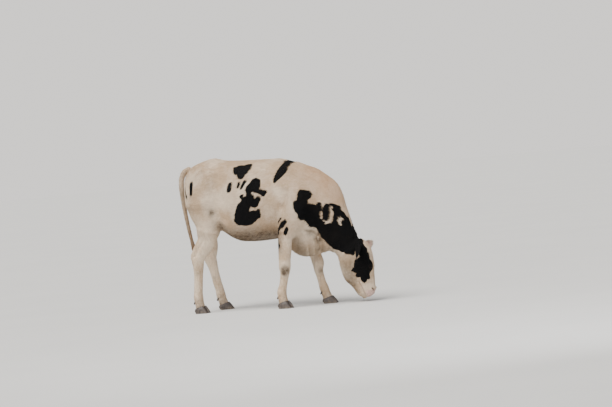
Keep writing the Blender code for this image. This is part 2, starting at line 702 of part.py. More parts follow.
def dewclaw(name, foot, inner, clearance):
    """A small horn cone behind the fetlock."""
    at = STANCE[foot]
    _, _, forward = coronet_plane(foot)
    aside = Vector((0, 0, 1)).cross(forward) * inner
    behind, out, height = DEWCLAW_ROOT
    root = Vector((0.5 * (at["fetlock"] + at["foot"]), at["y"], height)) - forward * behind + aside * out
    axis = (-forward + Vector((0, 0, -0.75)) + aside * 0.25).normalized()
    bm = bmesh.new()
    bmesh.ops.create_cone(bm, cap_ends=True, segments=8, radius1=DEWCLAW_RADIUS, radius2=DEWCLAW_TIP,
                          depth=DEWCLAW_LENGTH)
    turn = Vector((0, 0, 1)).rotation_difference(axis).to_matrix().to_4x4()
    bmesh.ops.transform(bm, verts=bm.verts, matrix=Matrix.Translation(root + axis * DEWCLAW_LENGTH / 2) @ turn)
    bmesh.ops.triangulate(bm, faces=bm.faces)
    obj = from_bmesh(name, bm)
    boolean(obj, clearance, "DIFFERENCE")
    keep_largest(obj)


# ---------------------------------------------------------------- materials
def material(name, colour, roughness, metallic=0.0):
    """A plain Principled material of the piece's main colour."""
    made = bpy.data.materials.new(name)
    made.use_nodes = True
    shader = made.node_tree.nodes["Principled BSDF"]
    shader.inputs["Base Color"].default_value = (*colour, 1.0)
    shader.inputs["Roughness"].default_value = roughness
    shader.inputs["Metallic"].default_value = metallic
    made.diffuse_color = (*colour, 1.0)
    return made


def finish_for(name):
    """Colour and roughness of a piece by its name."""
    if name.startswith("eye"):
        return (0.02, 0.014, 0.012), 0.08
    if name.startswith(("claw", "dewclaw")):
        return (0.12, 0.09, 0.08), 0.55
    if name == "tail_switch":
        return (0.30, 0.20, 0.13), 0.85
    if name in ("head", "neck"):
        return (0.30, 0.27, 0.25), 0.85
    return (0.78, 0.68, 0.58), 0.85


def dress(objects):
    """Give each piece its own material, and shade all of them smooth: none has flat sides but the soles."""
    for obj in objects:
        colour, roughness = finish_for(obj.name)
        obj.data.materials.clear()
        obj.data.materials.append(material(obj.name, colour, roughness))
        obj.data.polygons.foreach_set("use_smooth", [True] * len(obj.data.polygons))


def centre_on_floor(objects):
    """Move every piece so that the origin lies on the floor under the middle of the cow's box."""
    points = np.concatenate([points_of(obj.data) for obj in objects])
    low, high = points.min(0), points.max(0)
    shift = Matrix.Translation((-(low[0] + high[0]) / 2, -(low[1] + high[1]) / 2, 0.0))
    for obj in objects:
        obj.data.transform(shift)


def main():
    """Build every piece of the cow."""
    clear()
    body = blended_body()
    clearance = grown(body, GAP)
    hidden(body)
    for side, name in ((-1, "right"), (1, "left")):
        ear(f"ear_{name}", side, clearance)
    tail(clearance)
    for foot in STANCE:
        for inner, place_name in ((1, "left"), (-1, "right")):
            claw(f"claw_{foot}_{place_name}", foot, inner)
            dewclaw(f"dewclaw_{foot}_{place_name}", foot, inner, clearance)
    for name, centre in zip(("right", "left"), eye_centres()):
        ball(f"eye_{name}", centre, EYE_RADIUS, "Cow")
    part_body(body)
    bpy.data.objects.remove(body)
    pieces = list(collection("Cow").objects)
    dress(pieces)
    centre_on_floor(pieces)


main()
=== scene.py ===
"""The looks of a grazing dairy heifer, life-size: one skin with its coat, eyes, lashes, hooves and tail.

Two frames are used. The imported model's frame has its origin on the floor under the middle of the cow. The
body frame, in which the anatomy below is written, is the same but for a shift: +X towards the head, +Y to
the cow's left, z = 0 on the floor. Everything is in metres.
"""
import logging
import math
from dataclasses import dataclass, field
from enum import Enum, IntEnum
from typing import Callable, Dict, List, Optional, Sequence, Tuple

import bmesh
import bpy
import numpy as np
from mathutils import Matrix, Vector


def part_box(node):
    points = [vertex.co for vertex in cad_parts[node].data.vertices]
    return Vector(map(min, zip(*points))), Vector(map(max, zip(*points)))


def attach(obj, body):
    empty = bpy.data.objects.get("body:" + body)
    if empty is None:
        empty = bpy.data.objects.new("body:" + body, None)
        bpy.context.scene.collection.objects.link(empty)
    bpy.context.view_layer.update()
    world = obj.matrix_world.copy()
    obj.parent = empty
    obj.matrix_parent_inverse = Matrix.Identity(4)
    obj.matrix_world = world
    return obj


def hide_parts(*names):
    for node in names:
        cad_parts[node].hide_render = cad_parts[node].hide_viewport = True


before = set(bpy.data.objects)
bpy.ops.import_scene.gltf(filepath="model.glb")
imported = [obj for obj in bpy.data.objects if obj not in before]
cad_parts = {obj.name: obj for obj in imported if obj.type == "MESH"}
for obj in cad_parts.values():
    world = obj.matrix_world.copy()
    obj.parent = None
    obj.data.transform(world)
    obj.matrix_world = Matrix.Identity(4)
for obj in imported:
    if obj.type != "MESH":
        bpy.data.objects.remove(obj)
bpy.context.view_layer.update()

Array = np.ndarray
Row = Tuple[float, ...]
Point = Tuple[float, float, float]
Piece, Mesh, Material = bpy.types.Object, bpy.types.Mesh, bpy.types.Material
Node, Socket, Tree = bpy.types.Node, bpy.types.NodeSocket, bpy.types.NodeTree
log = logging.getLogger("cow")


class Side(Enum):
    """A side of the cow, as the sign of y."""

    RIGHT = -1
    LEFT = 1


class Foot(Enum):
    """The four feet."""

    HIND_RIGHT = "hind_right"
    HIND_LEFT = "hind_left"
    FORE_RIGHT = "fore_right"
    FORE_LEFT = "fore_left"


class Zone(Enum):
    """The parts of the coat that are made as pieces of their own."""

    HEAD = "head"
    NECK = "neck"
    TRUNK_RIGHT = "trunk_right"
    TRUNK_LEFT = "trunk_left"
    SHOULDERS = "shoulders"
    HAUNCHES = "haunches"
    LEGS = "legs"


class Part(IntEnum):
    """Numbers of the lofts and of their rectangles on the unwrap; a name stands for the first of its kind."""

    TRUNK = 0
    NECK = 1
    BRISKET = 2
    HEAD = 3
    SHOULDERS = 4
    HAUNCHES = 8
    LEGS = 12
    TAIL = 16
    EARS = 17
    SWITCH = 20


# ---- arrays
def unit(v: Array) -> Array:
    """Vectors of length one along the last axis."""
    return v / np.maximum(np.linalg.norm(v, axis=-1, keepdims=True), 1e-12)


def ramp(x: Array, low: float, high: float) -> Array:
    """A smooth step, 3t^2 - 2t^3, from 0 at `low` to 1 at `high`."""
    t = np.clip((x - low) / (high - low), 0, 1)
    return t * t * (3 - 2 * t)


def bell(points: Array, place: Sequence[float], radius: float) -> Array:
    """A bell curve, exp(-d^2 / 2r^2), of the distance d from a place."""
    return np.exp(-np.sum((points - np.asarray(place)) ** 2, axis=-1) / (2 * radius ** 2))


def strokes(kind: Callable, rows: Sequence[Row], place: Callable = lambda *p: p) -> List:
    """Make a stroke from each row of eight numbers: where it starts, where it ends, and its two sizes.

    Args:
        kind: What to make, a Ridge or a Blot.
        rows: The rows.
        place: Turns three numbers into a place in the body frame, if they aren't one already.

    Returns:
        The strokes.
    """
    return [kind(place(*row[:3]), place(*row[3:6]), *row[6:]) for row in rows]


def glow(points: Array, rows: Sequence[Row]) -> Array:
    """A sum of bell curves from rows of x, y, z, radius and height."""
    return sum(height * bell(points, place, radius) for *place, radius, height in rows)


def segment_distance(points: Array, a: Sequence[float], b: Sequence[float]) -> Tuple[Array, Array]:
    """How far points are from a straight segment.

    Args:
        points: Rows of x, y, z.
        a: One end of the segment.
        b: The other end, which may be the same point.

    Returns:
        The distances, and how far along the segment the nearest point lies, from 0 to 1.
    """
    a, b = np.asarray(a, float), np.asarray(b, float)
    edge = b - a
    t = np.clip((points - a) @ edge / max(edge @ edge, 1e-12), 0, 1)
    return np.linalg.norm(points - a - t[:, None] * edge, axis=1), t


def smooth_rows(rows: Sequence[Row], step: float) -> Array:
    """Carry rows (x, y, z, sizes...) along a cubic Hermite curve through them.

    Args:
        rows: The stations.
        step: Chord length between the new rows.

    Returns:
        One row for each step.
    """
    rows = np.asarray(rows, float)
    s = np.concatenate([[0], np.cumsum(np.linalg.norm(np.diff(rows[:, :3], axis=0), axis=1))])
    slope = np.gradient(rows, s, axis=0)
    t = np.linspace(0, s[-1], max(3, int(round(s[-1] / step)) + 1))
    i = np.clip(np.searchsorted(s, t, side="right") - 1, 0, len(s) - 2)
    h = (s[i + 1] - s[i])[:, None]
    u = (t - s[i])[:, None] / h
    return ((1 + 2 * u) * (1 - u) ** 2 * rows[i] + u * (1 - u) ** 2 * h * slope[i]
            + u * u * (3 - 2 * u) * rows[i + 1] + u * u * (u - 1) * h * slope[i + 1])


def grid_quads(rows: int, columns: int, wrap: bool = True) -> Array:
    """Quads of a grid of points numbered row by row; with `wrap` the last column joins the first."""
    i = np.arange(rows - 1)[:, None] * columns
    j = np.arange(columns if wrap else columns - 1)[None, :]
    k = (j + 1) % columns
    return np.stack([i + j, i + k, i + columns + k, i + columns + j], axis=-1).reshape(-1, 4)


def closed_tube(rings: Array) -> Tuple[Array, List[Array]]:
    """Skin rings of points, (rows, columns, 3), and close both ends with a fan about the end ring's mean.

    Args:
        rings: The rings in order along the tube.

    Returns:
        The points, and the faces as an array of quads and one of triangles.
    """
    rows, columns = rings.shape[:2]
    points = np.concatenate([rings.reshape(-1, 3), rings[:1].mean(1), rings[-1:].mean(1)])
    j = np.arange(columns)
    k = (j + 1) % columns
    first = np.stack([k, j, np.full(columns, rows * columns)], axis=-1)
    last = np.stack([j, k, np.full(columns, rows * columns + 1)], axis=-1)
    last[:, :2] += (rows - 1) * columns
    return points, [grid_quads(rows, columns), np.concatenate([first, last])]


def volume_of(points: Array, faces: Sequence[Array]) -> float:
    """Signed volume of a closed surface: a sixth of the sum of a . (b x c) over its triangles."""
    total = 0.0
    for group in faces:
        a = points[group[:, 0]]
        for n in range(1, group.shape[1] - 1):
            total += float(np.sum(a * np.cross(points[group[:, n]], points[group[:, n + 1]]))) / 6
    return total


# ---- meshes
class Maker:
    """Puts worked-out surfaces into Blender, reports them, and hands them to the frame."""

    @staticmethod
    def raw(name: str, points: Array, faces: Sequence[Array]) -> Piece:
        """Make an object from points and groups of equal-sized faces, turned outwards by their volume.

        Args:
            name: The object's name.
            points: Rows of x, y, z.
            faces: Arrays of corner numbers, one array for each number of corners.

        Returns:
            The object, linked to the scene.
        """
        if volume_of(points, faces) < 0:
            faces = [group[:, ::-1] for group in faces]
        mesh = bpy.data.meshes.new(name)
        mesh.vertices.add(len(points))
        mesh.vertices.foreach_set("co", np.asarray(points, np.float32).ravel())
        corners = np.concatenate([group.ravel() for group in faces])
        counts = np.concatenate([np.full(len(group), group.shape[1]) for group in faces])
        mesh.loops.add(len(corners))
        mesh.loops.foreach_set("vertex_index", corners.astype(np.int32))
        mesh.polygons.add(len(counts))
        starts = np.concatenate([[0], np.cumsum(counts)[:-1]])
        mesh.polygons.foreach_set("loop_start", starts.astype(np.int32))
        mesh.polygons.foreach_set("use_smooth", np.ones(len(counts), bool))
        mesh.update(calc_edges=True)
        obj = bpy.data.objects.new(name, mesh)
        bpy.context.scene.collection.objects.link(obj)
        return obj

    def finish(self, obj: Piece, material: Material, slot: str, stands_for: Sequence[str] = ()) -> Piece:
        """Dress a piece, let it ride on the model's one body, and report it.

        Args:
            obj: The piece.
            material: Its finish.
            slot: A material slot's name; not used.
            stands_for: CAD nodes that it replaces.

        Returns:
            The piece.
        """
        obj.data.materials.clear()
        obj.data.materials.append(material)
        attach(obj, "root")
        if stands_for:
            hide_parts(*stands_for)
        counts = np.empty(len(obj.data.polygons), np.int32)
        obj.data.polygons.foreach_get("loop_total", counts)
        log.info("%s: %d triangles", obj.name, int((counts - 2).sum()))
        return obj


def points_of(mesh: Mesh) -> Array:
    """A mesh's points."""
    values = np.empty(len(mesh.vertices) * 3, np.float32)
    mesh.vertices.foreach_get("co", values)
    return values.reshape(-1, 3).astype(float)


def normals_of(mesh: Mesh) -> Array:
    """A mesh's point normals."""
    values = np.empty(len(mesh.vertices) * 3, np.float32)
    mesh.vertex_normals.foreach_get("vector", values)
    return values.reshape(-1, 3).astype(float)


def move_points(mesh: Mesh, points: Array) -> None:
    """Give a mesh new points."""
    mesh.vertices.foreach_set("co", points.astype(np.float32).ravel())
    mesh.update()


def edges_of(mesh: Mesh) -> Array:
    """A mesh's edges as pairs of point numbers."""
    values = np.empty(len(mesh.edges) * 2, np.int32)
    mesh.edges.foreach_get("vertices", values)
    return values.reshape(-1, 2)


def triangles_of(mesh: Mesh) -> Array:
    """Corners of a mesh's triangles."""
    mesh.calc_loop_triangles()
    values = np.empty(len(mesh.loop_triangles) * 3, np.int32)
    mesh.loop_triangles.foreach_get("vertices", values)
    return values.reshape(-1, 3)


def even_out(mesh: Mesh, rounds: int, share: Optional[Array] = None) -> None:
    """Move each point halfway to the mean of its neighbours, as often as asked.

    Args:
        mesh: The mesh.
        rounds: How often.
        share: How much of that each point takes, from 0 to 1; all of it if not given.
    """
    edges, points = edges_of(mesh), points_of(mesh)
    both = np.concatenate([edges, edges[:, ::-1]])
    count = np.bincount(both[:, 0], minlength=len(points))[:, None]
    part = 0.5 if share is None else 0.5 * share[:, None]
    for _ in range(rounds):
        total = np.stack([np.bincount(both[:, 0], points[both[:, 1], k], len(points)) for k in range(3)], 1)
        points = points + part * (total / np.maximum(count, 1) - points)
    move_points(mesh, points)


def number(mesh: Mesh, name: str, values: Array) -> None:
    """Store a number, or a vector, for each point under a name that materials read."""
    kind, socket = ("FLOAT_VECTOR", "vector") if values.ndim == 2 else ("FLOAT", "value")
    layer = mesh.attributes.new(name, kind, "POINT")
    layer.data.foreach_set(socket, values.astype(np.float32).ravel())


def settled(obj: Piece) -> None:
    """Swap an object's mesh for its evaluated one and drop the modifiers."""
    bpy.context.view_layer.update()
    mesh = bpy.data.meshes.new_from_object(obj.evaluated_get(bpy.context.evaluated_depsgraph_get()))
    obj.modifiers.clear()
    obj.data = mesh


def boolean(obj: Piece, other: Piece, operation: str) -> None:
    """Unite a closed object with another, or cut it, and remove the other."""
    step = obj.modifiers.new(operation, "BOOLEAN")
    step.operation, step.object, step.solver = operation, other, "MANIFOLD"
    settled(obj)
    bpy.data.objects.remove(other)


# ---- lofts
class Loft:
    """Egg-shaped sections along a path; a section is (x, y, z, half width, reach forwards, reach back).

    A section's width lies along `side`; its front is the path's direction crossed with its side. `square`
    holds the exponents p of its front and back halves, each the curve |a|^p + |b|^p = 1: 2 is an ellipse,
    more is boxier.
    """

    def __init__(self, rows: Sequence[Row], side: Sequence[float] = (0, 1, 0),
                 side_end: Optional[Sequence[float]] = None, square: Tuple[float, float] = (2.0, 2.0),
                 blend: float = 0.05, step: float = 0.025) -> None:
        """Smooth the stations and frame each section.

        Args:
            rows: The stations.
            side: Direction of the width at the start.
            side_end: Direction of the width at the end, if it turns.
            square: Exponents of the front and the back halves.
            blend: How softly the loft runs into others.
            step: Spacing of the sections.
        """
        rows = smooth_rows(rows, step)
        self.centre, self.width, self.front, self.back = rows[:, :3], rows[:, 3], rows[:, 4], rows[:, 5]
        self.along = unit(np.gradient(self.centre, axis=0))
        turn = np.linspace(0, 1, len(rows))[:, None]
        first, last = np.array(side, float), np.array(side if side_end is None else side_end, float)
        sides = (1 - turn) * first + turn * last
        self.side = unit(sides - np.sum(sides * self.along, axis=1, keepdims=True) * self.along)
        self.out = np.cross(self.along, self.side)
        self.square, self.blend = square, blend
        self.reach = float(max(self.width.max(), self.front.max(), self.back.max()))

    def measure(self, points: Array) -> Tuple[Array, Array]:
        """How far outside the loft each point is, along the ray from the nearest section's centre.

        For a ray r with parts a across, b outwards and c ahead, each as a share of the section's reach, the
        distance is |r| (1 - 1/q), where q^p = |a|^p + |b|^p + |c|^p.

        Args:
            points: Rows of x, y, z.

        Returns:
            The distances, 1 where a point is far off, and the nearest place along the loft in sections.
        """
        best, where = np.full(len(points), 1.0), np.zeros(len(points))
        low = self.centre.min(0) - self.reach - 0.1
        high = self.centre.max(0) + self.reach + 0.1
        near = np.flatnonzero(np.all((points > low) & (points < high), axis=1))
        p = points[near]
        found, spot = np.full(len(p), 1.0), np.zeros(len(p))
        for j in range(len(self.centre) - 1):
            edge = self.centre[j + 1] - self.centre[j]
            u = np.clip((p - self.centre[j]) @ edge / (edge @ edge), 0, 1)

            def between(values: Array) -> Array:
                """Values part of the way from this section to the next."""
                part = u if values.ndim == 1 else u[:, None]
                return values[j] * (1 - part) + values[j + 1] * part

            ray = p - between(self.centre)
            width, front, back = between(self.width), between(self.front), between(self.back)
            across = np.abs(np.sum(ray * between(self.side), axis=1)) / width
            outward = np.sum(ray * between(self.out), axis=1)
            power = np.where(outward > 0, *self.square)
            outward = np.where(outward > 0, outward / front, -outward / back)
            ahead = np.abs(np.sum(ray * between(self.along), axis=1)) / (0.6 * np.minimum(width, front))
            q = (across ** power + outward ** power + ahead ** power) ** (1 / power)
            d = np.linalg.norm(ray, axis=1) * (1 - 1 / np.maximum(q, 1e-4))
            nearer = d < found
            found, spot = np.where(nearer, d, found), np.where(nearer, j + u, spot)
        best[near], where[near] = found, spot
        return best, where

    def unrolled(self, points: Array, where: Array) -> Array:
        """Where points lie on the loft cut open along its back: shares of the way round and along."""
        j = np.clip(where.astype(int), 0, len(self.centre) - 2)
        u = (where - j)[:, None]
        ray = points - (self.centre[j] * (1 - u) + self.centre[j + 1] * u)
        round_it = np.arctan2(np.sum(ray * self.side[j], axis=1), np.sum(ray * self.out[j], axis=1))
        return np.stack([round_it / (2 * math.pi) + 0.5, where / (len(self.centre) - 1)], axis=1)

    def rings(self, sides: int, shrink: float = 0.0) -> Array:
        """Rings of points round the sections, each reach less by `shrink`."""
        angle = np.linspace(0, 2 * math.pi, sides, endpoint=False)
        c, s = np.cos(angle), np.sin(angle)
        power = np.where(s > 0, *self.square)
        across, outward = np.sign(c) * np.abs(c) ** (2 / power), np.sign(s) * np.abs(s) ** (2 / power)
        reach = np.where(s[None] > 0, self.front[:, None], self.back[:, None]) - shrink
        width = self.width[:, None] - shrink
        return (self.centre[:, None] + (across * width)[..., None] * self.side[:, None]
                + (outward * reach)[..., None] * self.out[:, None])


@dataclass(frozen=True)
class Ridge:
    """A rounded ridge along a path from a to b, or a groove where its height is negative."""

    a: Point
    b: Point
    radius: float
    height: float
    via: Tuple[Point, ...] = ()

    def path(self) -> Tuple[Point, ...]:
        """The path's corners."""
        return (self.a, *self.via, self.b)

    @staticmethod
    def through(path: Sequence[Point], radius: float, height: float) -> "Ridge":
        """A ridge along a path, or a round bump where the path is one place."""
        corners = [tuple(corner) for corner in path]
        return Ridge(corners[0], corners[-1], radius, height, tuple(corners[1:-1]))

    def along(self, path: Sequence[Point]) -> "Ridge":
        """The same ridge along another path."""
        return Ridge.through(path, self.radius, self.height)

    def away(self, points: Array) -> Array:
        """Distance of each point from the path."""
        path = self.path()
        return np.min([segment_distance(points, a, b)[0] for a, b in zip(path, path[1:])], axis=0)

    def raise_by(self, points: Array) -> Array:
        """Height at each point: height x exp(-d^2 / 2r^2), d being the distance from the path."""
        return self.height * np.exp(-self.away(points) ** 2 / (2 * self.radius ** 2))


def on_both_sides(ridges: Sequence[Ridge]) -> List[Ridge]:
    """The same ridges, given for the cow's left, on both sides."""
    return list(ridges) + [r.along([(x, -y, z) for x, y, z in r.path()]) for r in ridges]


# ---- the cow's shape
@dataclass
class Anatomy:
    """Sizes and lofts of the body, the same as the solids', with the finer forms of bone, muscle and fold."""

    hip_height: float = 1.415
    head_yaw: float = math.radians(15)
    poll: Point = (1.632, 0.108, 0.565)
    eye_radius: float = 0.02
    eye_out: float = 0.0675              # of the eyeball's centre from the head's middle plane
    coronet_front: float = 0.07         # heights of the hairline above the floor
    coronet_back: float = 0.038
    foot_length: float = 0.092
    stance: Dict[Foot, Tuple[float, float, float, float, float]] = field(default_factory=lambda: {
        # x of hock or knee, of fetlock and of coronet, y of the foot, how far the toes turn out
        Foot.HIND_RIGHT: (0.106, 0.074, 0.08, -0.16, math.radians(12)),
        Foot.HIND_LEFT: (0.068, 0.146, 0.164, 0.155, math.radians(10)),
        Foot.FORE_RIGHT: (0.976, 0.93, 0.934, -0.158, math.radians(12)),
        Foot.FORE_LEFT: (1.172, 1.216, 1.236, 0.15, math.radians(8)),
    })
    leg_tops: Dict[Foot, float] = field(default_factory=lambda: {
        Foot.HIND_RIGHT: 0.232, Foot.HIND_LEFT: 0.078, Foot.FORE_RIGHT: 1.02, Foot.FORE_LEFT: 1.075})

    def __post_init__(self) -> None:
        """Work out the head's directions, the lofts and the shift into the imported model's frame."""
        self.head_front = np.array([math.cos(self.head_yaw), math.sin(self.head_yaw), 0.0])
        self.head_left = np.array([-math.sin(self.head_yaw), math.cos(self.head_yaw), 0.0])
        self.lofts = [self.trunk(), self.neck(), self.brisket(), self.head(),
                      *self.shoulders(), *self.haunches(),
                      self.hind_leg(Foot.HIND_RIGHT), self.hind_leg(Foot.HIND_LEFT),
                      self.fore_leg(Foot.FORE_RIGHT), self.fore_leg(Foot.FORE_LEFT)]
        low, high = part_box("eye_right")
        self.shift = (np.array(low) + np.array(high)) / 2 - self.eye_centre(Side.RIGHT)

    def place(self, obj: Piece) -> None:
        """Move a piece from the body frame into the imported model's."""
        move_points(obj.data, points_of(obj.data) + self.shift)

    def on_head(self, down: float, front: float, left: float = 0.0) -> Point:
        """A point in the head's own frame: below the poll, out of the forehead, to the left."""
        p = np.array(self.poll) + [0, 0, -down] + self.head_front * front + self.head_left * left
        return (float(p[0]), float(p[1]), float(p[2]))

    def eye_centre(self, side: Side) -> Array:
        """The middle of an eyeball."""
        return np.array(self.on_head(0.25, 0.074, side.value * self.eye_out))

    def trunk(self) -> Loft:
        """Barrel from the pin bones to the breast: x, half width, heights of the back and of the belly."""
        rows = [
            (0.032, 0.122, 1.35, 0.99),  # in front of the pins
            (0.085, 0.168, 1.375, 0.93),
            (0.15, 0.195, 1.395, 0.88),
            (0.275, 0.222, self.hip_height, 0.82),
            (0.4, 0.252, 1.392, 0.705),
            (0.5, 0.282, 1.383, 0.64),
            (0.62, 0.3, 1.378, 0.622),  # middle of the barrel
            (0.75, 0.298, 1.374, 0.622),
            (0.87, 0.27, 1.37, 0.628),
            (0.98, 0.232, 1.362, 0.622),  # withers
            (1.09, 0.205, 1.312, 0.56),
            (1.2, 0.18, 1.23, 0.51),
            (1.29, 0.13, 1.08, 0.5),  # breast
        ]
        axis = 1.02
        return Loft([(x, 0, axis, w, top - axis, axis - low) for x, w, top, low in rows],
                    square=(1.9, 2.1), blend=0.06)

    def neck(self) -> Loft:
        """From between the shoulder blades down to the nape, turning to the left."""
        rows = [
            (1.02, 0.0, 1.02, 0.15, 0.3, 0.3),
            (1.16, 0.01, 0.96, 0.15, 0.306, 0.34),
            (1.27, 0.028, 0.87, 0.138, 0.304, 0.32),
            (1.365, 0.052, 0.76, 0.122, 0.225, 0.27),
            (1.45, 0.078, 0.655, 0.108, 0.15, 0.215),
            (1.52, 0.095, 0.56, 0.098, 0.1, 0.18),
            (1.56, 0.1, 0.48, 0.09, 0.07, 0.15),
        ]
        return Loft(rows, side_end=self.head_left, blend=0.06)

    def brisket(self) -> Loft:
        """The hanging fold of the breast and the dewlap up to the throat."""
        rows = [
            (0.985, 0.0, 0.64, 0.06, 0.1, 0.1),
            (1.08, 0.0, 0.62, 0.072, 0.12, 0.155),
            (1.19, 0.004, 0.61, 0.07, 0.13, 0.162),
            (1.28, 0.014, 0.62, 0.052, 0.12, 0.15),
            (1.34, 0.032, 0.64, 0.036, 0.1, 0.125),
        ]
        return Loft(rows, blend=0.045)

    def head(self) -> Loft:
        """Poll to muzzle: metres below the poll, axis out of the poll's line, half width, front, back."""
        rows = [
            (0.016, 0.0, 0.056, 0.03, 0.1),
            (0.06, 0.0, 0.08, 0.07, 0.185),
            (0.125, 0.0, 0.096, 0.098, 0.215),
            (0.21, 0.0, 0.103, 0.107, 0.214),  # brow
            (0.285, 0.0, 0.088, 0.106, 0.196),
            (0.35, 0.012, 0.072, 0.09, 0.172),  # bridge of the nose
            (0.415, 0.022, 0.062, 0.078, 0.128),
            (0.465, 0.034, 0.064, 0.066, 0.094),  # nostrils
            (0.494, 0.046, 0.054, 0.046, 0.076),
        ]
        return Loft([(*self.on_head(down, axis), w, f, b) for down, axis, w, f, b in rows],
                    side=self.head_left, square=(2.7, 2.1), blend=0.035, step=0.0125)

    def shoulders(self) -> List[Loft]:
        """Shoulder blade with its muscle, and the upper arm down to the elbow, on both sides."""
        blade = [
            (1.0, -0.07, 1.27, 0.04, 0.07, 0.08),
            (1.06, -0.125, 1.15, 0.062, 0.11, 0.12),
            (1.13, -0.158, 1.01, 0.072, 0.11, 0.13),
            (1.185, -0.165, 0.89, 0.072, 0.08, 0.12),
        ]
        right_arm = [
            (1.17, -0.165, 0.88, 0.07, 0.085, 0.11),
            (1.095, -0.172, 0.79, 0.07, 0.105, 0.12),
            (1.03, -0.172, 0.7, 0.058, 0.09, 0.085),
        ]
        left_arm = [
            (1.185, 0.165, 0.88, 0.07, 0.085, 0.11),
            (1.125, 0.17, 0.79, 0.07, 0.105, 0.12),
            (1.08, 0.168, 0.69, 0.058, 0.085, 0.085),
        ]
        return [Loft(blade, blend=0.07), Loft(self.mirrored(blade), blend=0.07),
                Loft(right_arm, blend=0.06), Loft(left_arm, blend=0.06)]

    def haunches(self) -> List[Loft]:
        """Rump muscle and thigh down to the shank on each side."""
        rump = [
            (0.33, -0.165, 1.235, 0.07, 0.12, 0.15),
            (0.22, -0.14, 1.13, 0.085, 0.15, 0.17),
            (0.205, -0.138, 1.0, 0.092, 0.16, 0.165),
        ]
        right_thigh = [
            (0.205, -0.138, 1.01, 0.09, 0.16, 0.165),
            (0.215, -0.14, 0.925, 0.088, 0.158, 0.16),
            (0.23, -0.15, 0.805, 0.08, 0.125, 0.122),
            (0.232, -0.158, 0.73, 0.07, 0.102, 0.104),
        ]
        left_thigh = [
            (0.2, 0.138, 1.01, 0.09, 0.16, 0.165),
            (0.16, 0.14, 0.925, 0.088, 0.145, 0.16),
            (0.1, 0.15, 0.805, 0.08, 0.11, 0.124),
            (0.078, 0.158, 0.73, 0.07, 0.094, 0.102),
        ]
        return [Loft(rump, blend=0.06), Loft(self.mirrored(rump), blend=0.06),
                Loft(right_thigh, blend=0.06), Loft(left_thigh, blend=0.06)]

    def hind_leg(self, foot: Foot) -> Loft:
        """Shank, hock, cannon, fetlock and pastern, from the foot of the thigh down."""
        joint, fetlock, hoof, y, _ = self.stance[foot]
        knee, s = self.leg_tops[foot], math.copysign(1, y)
        rows = [
            (knee, s * 0.158, 0.74, 0.07, 0.1, 0.1),
            (knee - 0.014, s * 0.162, 0.683, 0.06, 0.092, 0.094),
            ((knee + joint) / 2 + (knee - joint) * 0.03, s * 0.164, 0.612, 0.05, 0.082, 0.09),
            (joint + (knee - joint) * 0.21, s * 0.165, 0.556, 0.044, 0.074, 0.086),
            (joint, s * 0.164, 0.49, 0.043, 0.058, 0.072),  # hock
            (0.85 * joint + 0.15 * fetlock, s * 0.162, 0.436, 0.041, 0.052, 0.056),
            (0.65 * joint + 0.35 * fetlock, y, 0.375, 0.036, 0.045, 0.05),
            (0.3 * joint + 0.7 * fetlock, y, 0.25, 0.035, 0.04, 0.05),  # cannon
            (0.05 * joint + 0.95 * fetlock, y, 0.175, 0.037, 0.04, 0.051),
            (fetlock, y, 0.14, 0.043, 0.042, 0.053),  # fetlock
            (0.5 * (fetlock + hoof), y, 0.1, 0.042, 0.041, 0.047),
            (hoof, y, 0.06, 0.049, 0.046, 0.046),  # coronet
            (hoof + 0.006, y, 0.03, 0.049, 0.046, 0.046),
        ]
        return Loft(rows, blend=0.05)

    def fore_leg(self, foot: Foot) -> Loft:
        """Forearm, knee, cannon, fetlock and pastern, from the foot of the upper arm down."""
        joint, fetlock, hoof, y, _ = self.stance[foot]
        elbow, s = self.leg_tops[foot], math.copysign(1, y)
        rows = [
            (elbow, s * 0.168, 0.7, 0.056, 0.08, 0.078),
            (0.8 * elbow + 0.2 * joint, s * 0.166, 0.625, 0.054, 0.074, 0.076),
            (0.5 * (elbow + joint), s * 0.163, 0.53, 0.05, 0.065, 0.066),
            (0.2 * elbow + 0.8 * joint, s * 0.16, 0.44, 0.046, 0.058, 0.06),
            (joint, y, 0.37, 0.05, 0.055, 0.052),  # knee
            (joint - 0.003, y, 0.325, 0.045, 0.047, 0.046),
            (0.75 * joint + 0.25 * fetlock, y, 0.27, 0.035, 0.037, 0.045),
            (0.4 * joint + 0.6 * fetlock, y, 0.205, 0.033, 0.035, 0.046),  # cannon
            (fetlock, y, 0.14, 0.042, 0.04, 0.053),  # fetlock
            (0.5 * (fetlock + hoof), y, 0.1, 0.042, 0.041, 0.048),
            (hoof, y, 0.06, 0.051, 0.047, 0.046),  # coronet
            (hoof + 0.006, y, 0.03, 0.051, 0.047, 0.046),
        ]
        return Loft(rows, blend=0.045)

    @staticmethod
    def mirrored(rows: Sequence[Row]) -> List[Row]:
        """The same stations on the other side of the body."""
        return [(x, -y, *rest) for x, y, *rest in rows]

